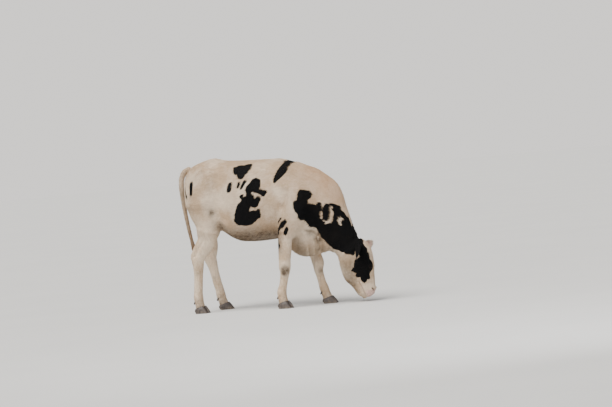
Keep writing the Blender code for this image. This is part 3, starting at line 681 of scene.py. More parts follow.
    def landmarks(self) -> List[Ridge]:
        """Bony points and hollows that the solids show too."""
        marks = [((-0.035, 0.0, 1.3), 0.045, 0.016),                            # tail head
                 ((0.29, 0.0, 1.412), 0.06, 0.006)]  # sacrum
        for s in (-1, 1):
            marks += [
                ((0.375, s * 0.225, 1.32), 0.045, 0.026),  # hook bone
                ((-0.02, s * 0.115, 1.235), 0.042, 0.022),  # pin bone
                ((0.17, s * 0.19, 1.29), 0.07, -0.01),  # between hook and pin
                ((0.47, s * 0.235, 1.22), 0.06, -0.024),  # hollow of the flank
                ((0.37, s * 0.245, 0.9), 0.07, -0.022),  # groin before the thigh
                ((0.86, s * 0.23, 1.16), 0.08, -0.012),  # behind the blade
                ((0.9, s * 0.245, 0.72), 0.065, -0.014),  # behind the elbow
                ((1.225, s * 0.2, 0.88), 0.055, 0.008),  # point of the shoulder
                (self.on_head(0.222, 0.084, s * 0.098), 0.026, 0.011),  # brow
                (self.on_head(0.295, 0.095, s * 0.07), 0.034, -0.008),  # in front of the eye
                (self.on_head(0.13, 0.03, s * 0.098), 0.04, -0.008),  # temple
                (self.on_head(0.25, -0.11, s * 0.085), 0.05, 0.008),  # cheek
                (self.on_head(0.34, -0.07, s * 0.07), 0.035, -0.008),  # before the cheek
                (self.on_head(0.462, 0.08, s * 0.05), 0.018, 0.006),  # wing of the nostril
                (self.on_head(0.474, 0.098, s * 0.038), 0.009, -0.006),  # nostril
            ]
        return [Ridge.through([place], radius, height) for place, radius, height in marks]

    def distance(self, points: Array) -> Array:
        """Distance outside the body: the lofts' smooth union, less the landmarks' heights.

        Two lofts with distances d and e and softness k unite as min(d, e) - k max(1 - |d - e| / k, 0)^2 / 4.
        """
        d = np.full(len(points), 1.0)
        for loft in self.lofts:
            other, k = loft.measure(points)[0], loft.blend
            d = np.minimum(d, other) - np.maximum(1 - np.abs(d - other) / k, 0) ** 2 * k / 4
        for mark in self.landmarks():
            d = d - mark.raise_by(points)
        return d

    def laid_on(self, ridges: Sequence[Ridge]) -> List[Ridge]:
        """Move the paths' corners onto the body: four times down the distance's slope by the distance."""
        ends = np.array([corner for ridge in ridges for corner in ridge.path()])
        probe, reach, least_slope = 0.002, 0.03, 0.3
        steps = probe * np.concatenate([np.zeros((1, 3)), np.eye(3)])
        for _ in range(4):
            d = self.distance((ends + steps[:, None]).reshape(-1, 3)).reshape(4, -1)
            slope = ((d[1:] - d[0]) / probe).T
            steepness = np.maximum(np.sum(slope ** 2, axis=1), least_slope)[:, None]
            ends = ends - np.clip(d[0], -reach, reach)[:, None] * slope / steepness
        starts = np.cumsum([0] + [len(ridge.path()) for ridge in ridges])
        return [r.along(ends[i:j]) for r, i, j in zip(ridges, starts, starts[1:])]

    def coronet(self, foot: Foot) -> Tuple[Array, Array, Array]:
        """A point of the hairline's plane over a foot, the plane's normal, and the way the toes point."""
        _, _, hoof, y, out = self.stance[foot]
        slope = math.atan2(self.coronet_front - self.coronet_back, self.foot_length)
        turn = math.copysign(out, y)
        forward = np.array([math.cos(turn), math.sin(turn), 0.0])
        normal = np.array([0, 0, math.cos(slope)]) - forward * math.sin(slope)
        return np.array([hoof, y, 0.5 * (self.coronet_front + self.coronet_back)]), normal, forward

    def muscles_and_bones(self) -> List[Ridge]:
        """Forms of the trunk and the upper limbs, given for the left and made on both sides."""
        ribs = [Ridge((x, 0.235, 1.22), (x - 0.09, 0.292, 0.84), 0.013, 0.0022)
                for x in np.arange(0.6, 0.96, 0.062)]
        return on_both_sides(ribs + strokes(Ridge, (
            (0.43, 0.15, 1.335, 0.64, 0.16, 1.335, 0.026, 0.006),  # edge of the loin
            (0.4, 0.24, 1.26, 0.46, 0.27, 1.04, 0.03, -0.007),  # flank behind the last rib
            (0.3, 0.215, 1.22, 0.24, 0.225, 1.02, 0.03, 0.006),  # thigh's great muscle
            (0.065, 0.19, 1.15, 0.105, 0.222, 0.9, 0.016, -0.005),  # split behind that muscle
            (0.015, 0.14, 1.14, 0.06, 0.18, 0.9, 0.028, 0.005),  # back muscle of the thigh
            (-0.005, 0.08, 1.19, 0.01, 0.11, 1.08, 0.05, 0.008),  # buttock beside the tail
            (1.14, 0.01, 1.29, 1.3, 0.01, 1.22, 0.06, 0.005),  # crest
            (1.3, 0.01, 1.22, 1.46, 0.05, 1.09, 0.05, 0.005),
            (0.995, 0.15, 1.235, 1.18, 0.226, 0.96, 0.018, 0.004),  # spine of the blade
            (0.94, 0.195, 1.19, 1.06, 0.235, 1.0, 0.026, -0.005),  # behind it
            (1.06, 0.16, 1.215, 1.19, 0.205, 1.03, 0.024, -0.004),  # in front of it
            (1.095, 0.23, 1.06, 1.025, 0.232, 0.92, 0.02, -0.008),  # edge of the shoulder
            (1.025, 0.232, 0.92, 0.945, 0.222, 0.78, 0.02, -0.008),
            (1.13, 0.238, 0.96, 1.03, 0.236, 0.8, 0.032, 0.006),  # upper arm's muscle
            (0.975, 0.205, 0.715, 0.975, 0.205, 0.715, 0.026, 0.008),  # point of the elbow
            (1.42, 0.16, 0.86, 1.19, 0.205, 1.1, 0.03, 0.004),  # muscle under the crest
            (1.47, 0.15, 0.61, 1.29, 0.185, 0.76, 0.018, -0.005),  # groove of the throat vein
        )))

    def folds(self) -> List[Ridge]:
        """Folds of loose skin: breast, flank, throat and neck."""
        crest = ((1.212, -0.136, 0.712), (1.273, -0.099, 0.702), (1.315, -0.059, 0.658),
                 (1.333, -0.029, 0.576), (1.326, 0.006, 0.489))       # of the curtain before the breast
        groove = ((1.203, -0.138, 0.676), (1.268, -0.112, 0.667), (1.299, -0.082, 0.615),
                  (1.295, -0.036, 0.54), (1.281, -0.006, 0.474))      # behind it
        breast = [Ridge.through(crest, 0.015, 0.008), Ridge.through(groove, 0.013, -0.013)]
        breast += [r.along([(x, -y + 0.5 * (x - 1.16), z) for x, y, z in r.path()]) for r in breast]
        for side in (-1, 1):
            breast += strokes(Ridge, (
                (1.263, 0.11, 0.598, 1.23, 0.042, 0.478, 0.011, -0.0085),
                (1.24, 0.11, 0.59, 1.205, 0.042, 0.475, 0.014, 0.005),
                (1.199, 0.1, 0.577, 1.173, 0.029, 0.469, 0.011, -0.0065),
                (1.15, 0.1, 0.6, 1.145, 0.06, 0.52, 0.045, 0.008),
                (1.11, 0.11, 0.69, 1.075, 0.1, 0.56, 0.02, -0.008),
            ), lambda x, y, z: (x, side * y + 0.25 * (x - 1.16), z))
        flank = strokes(Ridge, (
            (0.395, 0.215, 0.83, 0.47, 0.235, 0.79, 0.016, 0.007),
            (0.385, 0.225, 0.87, 0.48, 0.25, 0.85, 0.012, -0.005),
            (0.33, 0.215, 0.76, 0.41, 0.215, 0.8, 0.012, -0.004),
        ))
        throat = strokes(Ridge, [
            (0.06 + 0.045 * n, -0.205 + 0.01 * n, 0.07,
             0.1 + 0.045 * n, -0.235 + 0.01 * n, 0.015, 0.009, -0.005) for n in range(3)], self.on_head)
        neck = strokes(Ridge, [
            (1.475 - 0.045 * n, 0.185 - 0.005 * n, 0.7 + 0.03 * n,
             1.42 - 0.045 * n, 0.14, 0.56 + 0.01 * n, 0.01, -0.004) for n in range(3)])
        return breast + on_both_sides(flank) + self.on_head_sides(throat) + on_both_sides(neck)

    def on_head_sides(self, ridges: Sequence[Ridge]) -> List[Ridge]:
        """Ridges given on the head's left, on both of its sides."""
        def over(p: Point) -> Point:
            """The place on the other side of the head."""
            across = float(np.dot(np.array(p) - self.poll, self.head_left))
            q = np.array(p) - 2 * across * self.head_left
            return (float(q[0]), float(q[1]), float(q[2]))

        return list(ridges) + [r.along([over(p) for p in r.path()]) for r in ridges]

    def leg_forms(self) -> List[Ridge]:
        """Hock, knee, sinews, fetlock and the split of the foot, on all four legs."""
        made: List[Ridge] = []
        for foot, (joint, fetlock, hoof, y, _) in self.stance.items():
            top, hind = self.leg_tops[foot], foot in (Foot.HIND_RIGHT, Foot.HIND_LEFT)
            beside = [  # given on the leg's left: x, out from its middle, z, and again, radius, height
                (0.6 * joint + 0.4 * fetlock - 0.016, 0.036, 0.33 if hind else 0.275,
                 fetlock - 0.018, 0.036, 0.18, 0.007, -0.005),
                (fetlock, 0.043, 0.14, fetlock, 0.043, 0.14, 0.018, 0.004),
                (fetlock - 0.01, 0.044, 0.112, hoof - 0.004, 0.046, 0.096, 0.006, -0.003)]
            beside += [
                (top - 0.04, 0.055, 0.67, joint - 0.022, 0.044, 0.53, 0.012, -0.009),
                (joint + 0.006, 0.043, 0.48, joint + 0.006, 0.043, 0.48, 0.02, 0.004),
                (top - 0.1, 0.04, 0.69, joint + 0.062, 0.045, 0.56, 0.008, -0.004),
                (top - 0.155, 0.035, 0.65, joint + 0.018, 0.045, 0.535, 0.008, -0.0035),
                (top - 0.128, 0.038, 0.67, joint + 0.04, 0.045, 0.548, 0.01, 0.003),
            ] if hind else [
                (joint, 0.048, 0.375, joint, 0.048, 0.375, 0.02, 0.004),
                (joint - 0.03, 0.04, 0.44, joint - 0.032, 0.036, 0.345, 0.008, -0.004),
                (0.6 * top + 0.4 * joint, 0.05, 0.59, joint + 0.01, 0.045, 0.43, 0.012, -0.004)]
            for s in (-1, 1):
                made += strokes(Ridge, beside, lambda x, out, z: (x, y + s * out, z))
            before_and_behind = [
                (hoof + 0.034, y, 0.115, hoof + 0.052, y, 0.05, 0.006, -0.006),
                (fetlock - 0.052, y, 0.13, hoof - 0.05, y, 0.05, 0.007, -0.007)]
            before_and_behind += [
                (joint - 0.066, y, 0.545, joint - 0.07, y, 0.52, 0.016, 0.01),
                (joint - 0.058, y, 0.47, joint - 0.048, y, 0.4, 0.012, 0.003),
            ] if hind else [
                (joint + 0.05, y, 0.385, joint + 0.05, y, 0.355, 0.024, 0.004),
                (joint - 0.048, y, 0.385, joint - 0.048, y, 0.37, 0.014, 0.006)]
            made += strokes(Ridge, before_and_behind)
        return made

    def face_forms(self) -> List[Ridge]:
        """Bones, lips, wings of the nostrils and fine wrinkles of the face, on both sides."""
        forms = strokes(Ridge, (          # below the poll, out of the forehead, to the left
            (0.3, 0.02, 0.086, 0.385, 0.012, 0.07, 0.01, 0.004),  # cheek's ridge
            (0.3, 0.098, 0.04, 0.42, 0.086, 0.034, 0.009, 0.003),  # edge of the nose
            (0.19, 0.096, 0.05, 0.13, 0.082, 0.045, 0.02, -0.004),  # forehead's dish
            (0.205, -0.16, 0.06, 0.3, -0.165, 0.055, 0.016, -0.004),  # above the jaw's edge
            (0.268, 0.106, 0.066, 0.3, 0.098, 0.058, 0.005, -0.003),  # tear furrow
            (0.214, 0.05, 0.106, 0.235, 0.098, 0.09, 0.0045, -0.0025),  # wrinkles over the eye
            (0.205, 0.06, 0.104, 0.222, 0.104, 0.082, 0.0045, -0.0022),
            (0.276, 0.04, 0.098, 0.29, 0.07, 0.09, 0.0045, -0.0022),  # and under it
            (0.38, -0.056, 0.066, 0.398, -0.03, 0.068, 0.0045, -0.004),  # corner of the mouth
            (0.372, -0.044, 0.066, 0.384, -0.02, 0.068, 0.0045, -0.003),
            (0.44, 0.008, 0.066, 0.486, 0.026, 0.054, 0.011, 0.0035),  # upper lip
            (0.486, 0.026, 0.054, 0.512, 0.04, 0.02, 0.01, 0.003),
            (0.44, -0.03, 0.056, 0.486, -0.012, 0.04, 0.012, 0.003),  # lower lip
            (0.486, -0.012, 0.04, 0.505, 0.0, 0.0, 0.011, 0.003),
            (0.455, -0.05, 0.01, 0.478, -0.035, 0.0, 0.02, 0.005),  # chin
            (0.436, 0.088, 0.056, 0.448, 0.104, 0.038, 0.007, 0.006),  # wing of the nostril
            (0.448, 0.104, 0.038, 0.468, 0.11, 0.02, 0.0065, 0.005),
            (0.458, 0.076, 0.062, 0.484, 0.082, 0.05, 0.0065, 0.005),
            (0.495, 0.07, 0.03, 0.5, 0.06, 0.045, 0.007, 0.002),
            (0.02, 0.02, 0.062, 0.02, 0.02, 0.062, 0.018, 0.004),  # horn's button
            (0.455, 0.105, 0.0, 0.512, 0.062, 0.0, 0.004, -0.0035),  # middle of the nose
            (0.25, 0.07, 0.095, 0.25, 0.07, 0.095, 0.024, 0.006),  # socket round the eye
        ), self.on_head)
        return self.on_head_sides(forms)

    def mouth(self) -> Ridge:
        """The slit between the lips on the head's left, from its corner to the chin."""
        line = [(0.385, -0.038, 0.068), (0.425, -0.02, 0.066), (0.458, -0.006, 0.062), (0.487, 0.006, 0.05),
                (0.508, 0.014, 0.026), (0.516, 0.018, 0.0)]
        return Ridge.through([self.on_head(*p) for p in line], 0.0048, -0.009)

    def nostril(self) -> Ridge:
        """The comma of the left nostril."""
        line = [(0.447, 0.08, 0.056), (0.457, 0.092, 0.05), (0.47, 0.1, 0.04), (0.481, 0.098, 0.03)]
        return Ridge.through([self.on_head(*p) for p in line], 0.0066, -0.02)

    def openings(self) -> List[Ridge]:
        """Mouth and nostrils on both sides, laid on the body."""
        return self.laid_on(self.on_head_sides([self.mouth(), self.nostril()]))


@dataclass
class EyeLids:
    """Lids round one eye: an almond opening over the ball, with a thick rim and a crease above."""

    anatomy: Anatomy
    side: Side
    half_length: float = 0.0178
    half_height: float = 0.0108
    rim: float = 0.003

    def __post_init__(self) -> None:
        """Work out the directions: outwards, along the slit towards the muzzle, and towards the brow."""
        a = self.anatomy
        down = np.array([0, 0, -1.0])
        self.centre = a.eye_centre(self.side)
        self.out = unit(a.head_left * self.side.value * 0.94 + a.head_front * 0.3 + down * 0.02)
        slit = down * 0.97 + a.head_front * 0.22
        self.slit = unit(slit - np.dot(slit, self.out) * self.out)
        self.brow = np.cross(self.out, self.slit)
        if np.dot(self.brow, a.head_front) < 0:
            self.brow = -self.brow

    def local(self, points: Array) -> Tuple[Array, Array, Array, Array]:
        """Distance from the ball's centre, and parts along the slit, towards the brow and outwards."""
        ray = points - self.centre
        return np.linalg.norm(ray, axis=1), ray @ self.slit, ray @ self.brow, ray @ self.out

    def opening(self, u: Array, v: Array) -> Array:
        """The almond as a number, 1 on its edge: (u / a)^2 + |v| / b, b a tenth less below than above."""
        b = np.where(v > 0, self.half_height, 0.9 * self.half_height)
        return (u / self.half_length) ** 2 + np.abs(v) / b

    def shape(self, points: Array) -> Array:
        """Move skin points near the eye out to the lids, or in behind the ball within the opening.

        A point's distance r from the ball's centre goes towards R + rim outside the almond, with a shallow
        crease at 1.7 times its size, and to R - 4 mm inside; the change dies away from 1.5 to 2.8 times.

        Args:
            points: The skin's points.

        Returns:
            The moved points.
        """
        r, u, v, out = self.local(points)
        e = self.opening(u, v)
        ball = self.anatomy.eye_radius
        rim = self.rim * (1 - 0.35 * ramp(e, 1.2, 1.9)) - 0.0014 * np.exp(-((e - 1.85) / 0.16) ** 2)
        target = np.where(e < 1.0, ball - 0.004 + (0.004 + rim) * ramp(e, 0.84, 1.0), ball + rim)
        weight = (1 - ramp(e, 1.7, 3.2)) * ramp(out, -0.012, -0.002) * (r < 0.05)
        fresh = r + weight * (target - r)
        return self.centre + (points - self.centre) * (fresh / np.maximum(r, 1e-9))[:, None]


@dataclass
class Ear:
    """A cupped leaf of gristle and skin beside the poll."""

    anatomy: Anatomy
    side: Side
    length: float = 0.181
    width: float = 0.096
    thickness: float = 0.0042
    root: Tuple[float, float, float] = (0.05, -0.012, 0.07)    # below the poll, out of the forehead, aside
    cup_root: float = 0.04
    cup_tip: float = 0.01
    set_right: Tuple[float, float] = (0.02, 0.52)                # how far it turns forward and hangs
    set_left: Tuple[float, float] = (0.44, 0.1)

    def __post_init__(self) -> None:
        """Work out the ear's three directions: along it, across it and out of its hollow."""
        a, s = self.anatomy, self.side.value
        forward, drop = self.set_right if self.side is Side.RIGHT else self.set_left
        down = np.array([0, 0, -1.0])
        self.start = np.array(a.on_head(self.root[0], self.root[1], s * self.root[2]))
        self.along = unit(a.head_left * s * 0.85 + a.head_front * forward + down * drop)
        opening = unit(a.head_front * 0.8 + down * 0.45 - a.head_left * s * 0.1)
        self.across = unit(np.cross(self.along, opening))
        self.opening = np.cross(self.across, self.along)

    def half_width(self, t: Array) -> Array:
        """Half the ear's width from its root, t = 0, past the broadest part to its tip, t = 1."""
        broad = 0.42 + 0.58 * np.sin(math.pi * np.clip(1.15 * t, 0, 1) ** 0.9)
        tip = np.cos(math.pi / 2 * np.clip((t - 0.62) / 0.38, 0, 0.999)) ** 0.62
        return 0.5 * self.width * np.where(t < 0.62, broad, tip)

    def at(self, t: Array, v: Array) -> Tuple[Array, Array]:
        """A point of the leaf's middle sheet, and the sheet's normal out of the hollow.

        The sheet is root + along L t + across h(t) v + opening c(t) (v^2 - 0.6), its edge a little rippled.

        Args:
            t: Share of the length.
            v: Share of the half width, from -1 to 1.

        Returns:
            The points and the normals.
        """
        h, cup = self.half_width(t), self.cup_root * (1 - t) + self.cup_tip * t
        lift = cup * (v ** 2 - 0.6) + 0.0016 * np.sin(22 * t + 3 * v) * v ** 2
        point = (self.start + self.along * (self.length * t)[..., None] + self.across * (h * v)[..., None]
                 + self.opening * lift[..., None])
        normal = unit(self.opening - self.across * (2 * cup * v / np.maximum(h, 0.006))[..., None])
        return point, normal

    def local(self, points: Array) -> Tuple[Array, Array, Array]:
        """Points as shares of the ear's length and half width, and heights over its middle sheet."""
        ray = points - self.start
        t = ray @ self.along / self.length
        v = ray @ self.across / np.maximum(self.half_width(t), 0.004)
        cup = self.cup_root * (1 - t) + self.cup_tip * t
        return t, v, ray @ self.opening - cup * (np.minimum(v ** 2, 1.5) - 0.6)

    def build(self) -> Piece:
        """The leaf as a closed tube of thin ovals: v = cos a, thickness x sin a, thinner to the edge."""
        t, a = np.linspace(0, 1, 44)[:, None], np.linspace(0, 2 * math.pi, 40, endpoint=False)[None]
        t, a = np.broadcast_arrays(1 - (1 - t) ** 1.35, a)
        point, normal = self.at(t, np.cos(a))
        half = 0.5 * self.thickness * (1 - 0.45 * t) * np.abs(np.sin(a)) ** 0.7 * np.sign(np.sin(a))
        tube = closed_tube(point + normal * half[..., None])
        return Maker.raw(f"ear_{self.side.name.lower()}_shape", *tube)


@dataclass
class Tail:
    """The tail's flesh from the rump to inside the switch."""

    hair: float = 0.0035                  # coat depth
    rows: Tuple[Row, ...] = (             # x, y, z, half width, front, back, to the tips of the hair
        (0.02, 0.0, 1.335, 0.036, 0.034, 0.03),
        (-0.034, 0.0, 1.318, 0.034, 0.034, 0.028),
        (-0.072, 0.0, 1.268, 0.029, 0.031, 0.025),
        (-0.086, 0.0, 1.2, 0.026, 0.027, 0.024),
        (-0.086, 0.0, 1.12, 0.024, 0.024, 0.023),
        (-0.075, 0.0, 0.98, 0.022, 0.022, 0.022),
        (-0.058, 0.0, 0.84, 0.02, 0.02, 0.02),
        (-0.036, 0.0, 0.7, 0.018, 0.018, 0.018),
        (-0.022, 0.002, 0.62, 0.013, 0.013, 0.013),
        (-0.01, 0.003, 0.56, 0.007, 0.007, 0.007),
    )

    def loft(self) -> Loft:
        """The tail's loft."""
        return Loft(self.rows, step=0.01)

    def build(self) -> Piece:
        """A closed tube, a little knotted where its bones meet."""
        loft = self.loft()
        rings = loft.rings(28, self.hair)
        knot = 1 + 0.03 * np.cos(2 * math.pi * np.arange(len(rings)) * 0.01 / 0.045)
        rings = loft.centre[:, None] + (rings - loft.centre[:, None]) * knot[:, None, None]
        return Maker.raw("tail_shape", *closed_tube(rings))


@dataclass
class Teats:
    """Four small teats of a heifer's bag, between the thighs."""

    places: Tuple[Point, ...] = ((0.3, 0.04, 0.8), (0.3, -0.04, 0.8),
                                 (0.225, 0.034, 0.812), (0.225, -0.034, 0.812))
    length: float = 0.04
    radius: float = 0.0085

    def build(self) -> List[Piece]:
        """Each a rounded finger: its radius stays even and closes as the root of 1 - t^6."""
        t = np.linspace(0, 1, 14)
        made = []
        for n, (x, y, z) in enumerate(self.places):
            rows = [(x, y * (1 + 0.25 * s), z + 0.02 - (self.length + 0.02) * s, *[self.radius * r] * 3)
                    for s, r in zip(t, 0.1 + 0.9 * np.sqrt(1 - t ** 6))]
            made.append(Maker.raw(f"teat_{n}", *closed_tube(Loft(rows, step=0.004).rings(14))))
        return made


@dataclass
class Skin:
    """One skin over the whole animal, inside the solids by the coat's depth."""

    anatomy: Anatomy
    voxel: float = 0.015
    trunk_depth: float = 0.005
    limb_depth: float = 0.003
    face_depth: float = 0.0022

    def __post_init__(self) -> None:
        """Make the ears, the tail and the lids."""
        self.ears = [Ear(self.anatomy, side) for side in Side]
        self.tail = Tail()
        self.lids = [EyeLids(self.anatomy, side) for side in Side]

    def depth(self, points: Array) -> Array:
        """The coat's depth: least on the face, a little more on the legs, most on the trunk."""
        a = self.anatomy
        head = ramp(a.poll[2] + 0.02 - points[:, 2], 0, 0.15) * ramp(points[:, 0], 1.5, 1.6)
        leg = ramp(0.66 - points[:, 2], 0, 0.12) * (1 - head) * ramp(np.abs(points[:, 1]), 0.08, 0.11)
        return (self.trunk_depth + (self.limb_depth - self.trunk_depth) * leg
                + (self.face_depth - self.trunk_depth) * head)

    def settle(self, mesh: Mesh, rounds: int) -> None:
        """Move the points along their normals until they lie on the blended body."""
        for _ in range(rounds):
            points = points_of(mesh)
            step = np.clip(self.anatomy.distance(points), -0.012, 0.012)
            move_points(mesh, points - 0.85 * step[:, None] * normals_of(mesh))

    def fineness(self, points: Array) -> Array:
        """How often the first grid is halved: 0 on the trunk, 1 on neck and legs, more on the face."""
        a = self.anatomy
        x, z = points[:, 0], points[:, 2]
        down = a.poll[2] - z
        level = np.zeros(len(points))
        level[(z < 0.56) | ((x > 1.19) & (z < 0.8)) | (x > 1.38) | ((z < 0.66) & (x < 0.3))] = 1
        level[(x > 1.5) & (down > -0.03)] = 2
        for lids in self.lids:
            _, u, v, out = lids.local(points)
            level[(np.abs(u) < 0.034) & (np.abs(v) < 0.028) & (out > 0)] = 3
            level[(np.abs(u) < 0.026) & (np.abs(v) < 0.02) & (out > 0)] = 4
        for s in (-1, 1):
            near = np.linalg.norm(points - np.array(a.on_head(0.47, 0.1, s * 0.042)), axis=1)
            level[near < 0.028] = 3
        for slit in a.on_head_sides([a.mouth(), a.nostril()]):
            level[(slit.away(points) < 0.012) & (level == 2)] = 3
        return level

    def refine(self, obj: Piece, level: int) -> None:
        """Halve the edges whose ends both want at least this fineness."""
        wanted = self.fineness(points_of(obj.data)) >= level
        chosen = wanted[edges_of(obj.data)].all(axis=1)
        bm = bmesh.new()
        bm.from_mesh(obj.data)
        bm.edges.ensure_lookup_table()
        edges = [bm.edges[i] for i in np.flatnonzero(chosen)]
        bmesh.ops.subdivide_edges(bm, edges=edges, cuts=1, use_grid_fill=True)
        bm.to_mesh(obj.data)
        bm.free()

    def body(self) -> Piece:
        """Head, neck, trunk and legs: tubes joined on a grid, laid on the body and modelled finely."""
        points, faces, count = [], [], 0
        for loft in self.anatomy.lofts:
            tube, groups = closed_tube(loft.rings(20))
            if volume_of(tube, groups) < 0:
                groups = [g[:, ::-1] for g in groups]
            points.append(tube)
            faces.append([g + count for g in groups])
            count += len(tube)
        obj = Maker.raw("skin", np.concatenate(points), [np.concatenate(group) for group in zip(*faces)])
        remesh = obj.modifiers.new("Grid", "REMESH")
        remesh.mode, remesh.voxel_size = "VOXEL", self.voxel
        settled(obj)
        even_out(obj.data, 2)
        self.settle(obj.data, 5)
        even_out(obj.data, 1)
        for level in (1, 2, 3, 4):
            self.refine(obj, level)
            if level < 3:
                self.settle(obj.data, 1)
        self.settle(obj.data, 2)
        even_out(obj.data, 2)
        self.model_forms(obj.data)
        return obj

    def model_forms(self, mesh: Mesh) -> None:
        """Raise ridges and folds along the normals, sink the skin by the coat's depth, and shape the lids."""
        a = self.anatomy
        points, normals = points_of(mesh), normals_of(mesh)
        height = -self.depth(points)
        forms = a.muscles_and_bones() + a.folds() + a.leg_forms() + a.face_forms()
        for ridge in a.laid_on(forms) + a.openings():
            height = height + ridge.raise_by(points)
        # painted shade in the openings: the mouth, a thin slit, is less dark than the nostrils
        darkness = [(0.55 if r.radius < 0.006 else 1.0) * ramp(r.raise_by(points) / r.height, 0.45, 0.8)
                    for r in a.openings()]
        number(mesh, "hollow", np.max(darkness, axis=0))
        height = height + 0.03 * bell(points, (0.262, 0.0, 0.835), 0.055)       # a heifer's small bag
        points = points + height[:, None] * normals
        for lids in self.lids:
            points = lids.shape(points)
        move_points(mesh, points)

    def cut_feet(self, obj: Piece) -> None:
        """End each leg on the plane of its hairline."""
        length, width, bottom = 0.15, 0.11, 0.12        # of the box that is cut away, from its middle
        gap = 0.0012                                    # between the hairline and the skin's end
        for foot in Foot:
            point, normal, _ = self.anatomy.coronet(foot)
            along = unit(np.cross([0, 1, 0], normal))
            across = np.cross(normal, along)
            corners = [point + along * x * length + across * y * width - normal * d
                       for d in (gap, bottom) for x, y in ((-1, -1), (1, -1), (1, 1), (-1, 1))]
            quads = np.array([[0, 1, 2, 3], [7, 6, 5, 4], [0, 4, 5, 1],
                              [1, 5, 6, 2], [2, 6, 7, 3], [3, 7, 4, 0]])
            boolean(obj, Maker.raw("sole_cutter", np.array(corners), [quads]), "DIFFERENCE")

    def soften_joins(self, mesh: Mesh) -> None:
        """Even the skin out where ears, tail and teats grow from it."""
        points = points_of(mesh)
        share = np.zeros(len(points))
        for ear in self.ears:
            share = np.maximum(share, bell(points, ear.start + ear.along * 0.024, 0.017))
        share = np.maximum(share, bell(points, (-0.02, 0.0, 1.318), 0.03))
        share = np.clip(1.6 * share - 0.25, 0, 1)
        even_out(mesh, 8, share)

    @staticmethod
    def darken_openings(mesh: Mesh) -> None:
        """Count mouth and nostrils as bare skin with spots, which the finish makes dark as painted shade."""
        for name in ("bare", "spot"):
            layers = [mesh.attributes[key].data for key in (name, "hollow")]
            values = np.zeros((2, len(mesh.vertices)), np.float32)
            for layer, row in zip(layers, values):
                layer.foreach_get("value", row)
            layers[0].foreach_set("value", values.max(axis=0))

    def build(self) -> Piece:
        """The whole skin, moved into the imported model's frame.

        Returns:
            The skin's object, not yet dressed.
        """
        obj = self.body()
        self.cut_feet(obj)
        for part in [*(ear.build() for ear in self.ears), self.tail.build(), *Teats().build()]:
            boolean(obj, part, "UNION")
        self.soften_joins(obj.data)
        Markings(self.anatomy).write(obj.data, points_of(obj.data))
        self.darken_openings(obj.data)
        self.anatomy.place(obj)
        obj.data.polygons.foreach_set("use_smooth", np.ones(len(obj.data.polygons), bool))
        return obj


# ---- markings
@dataclass(frozen=True)
class Blot:
    """A patch piece: a rounded stroke from one place to another, its radius running from one to the other."""

    a: Point
    b: Point
    radius_a: float
    radius_b: float

    def signed(self, points: Array) -> Array:
        """Distance outside the stroke, negative inside it."""
        d, t = segment_distance(points, self.a, self.b)
        return d - (self.radius_a * (1 - t) + self.radius_b * t)


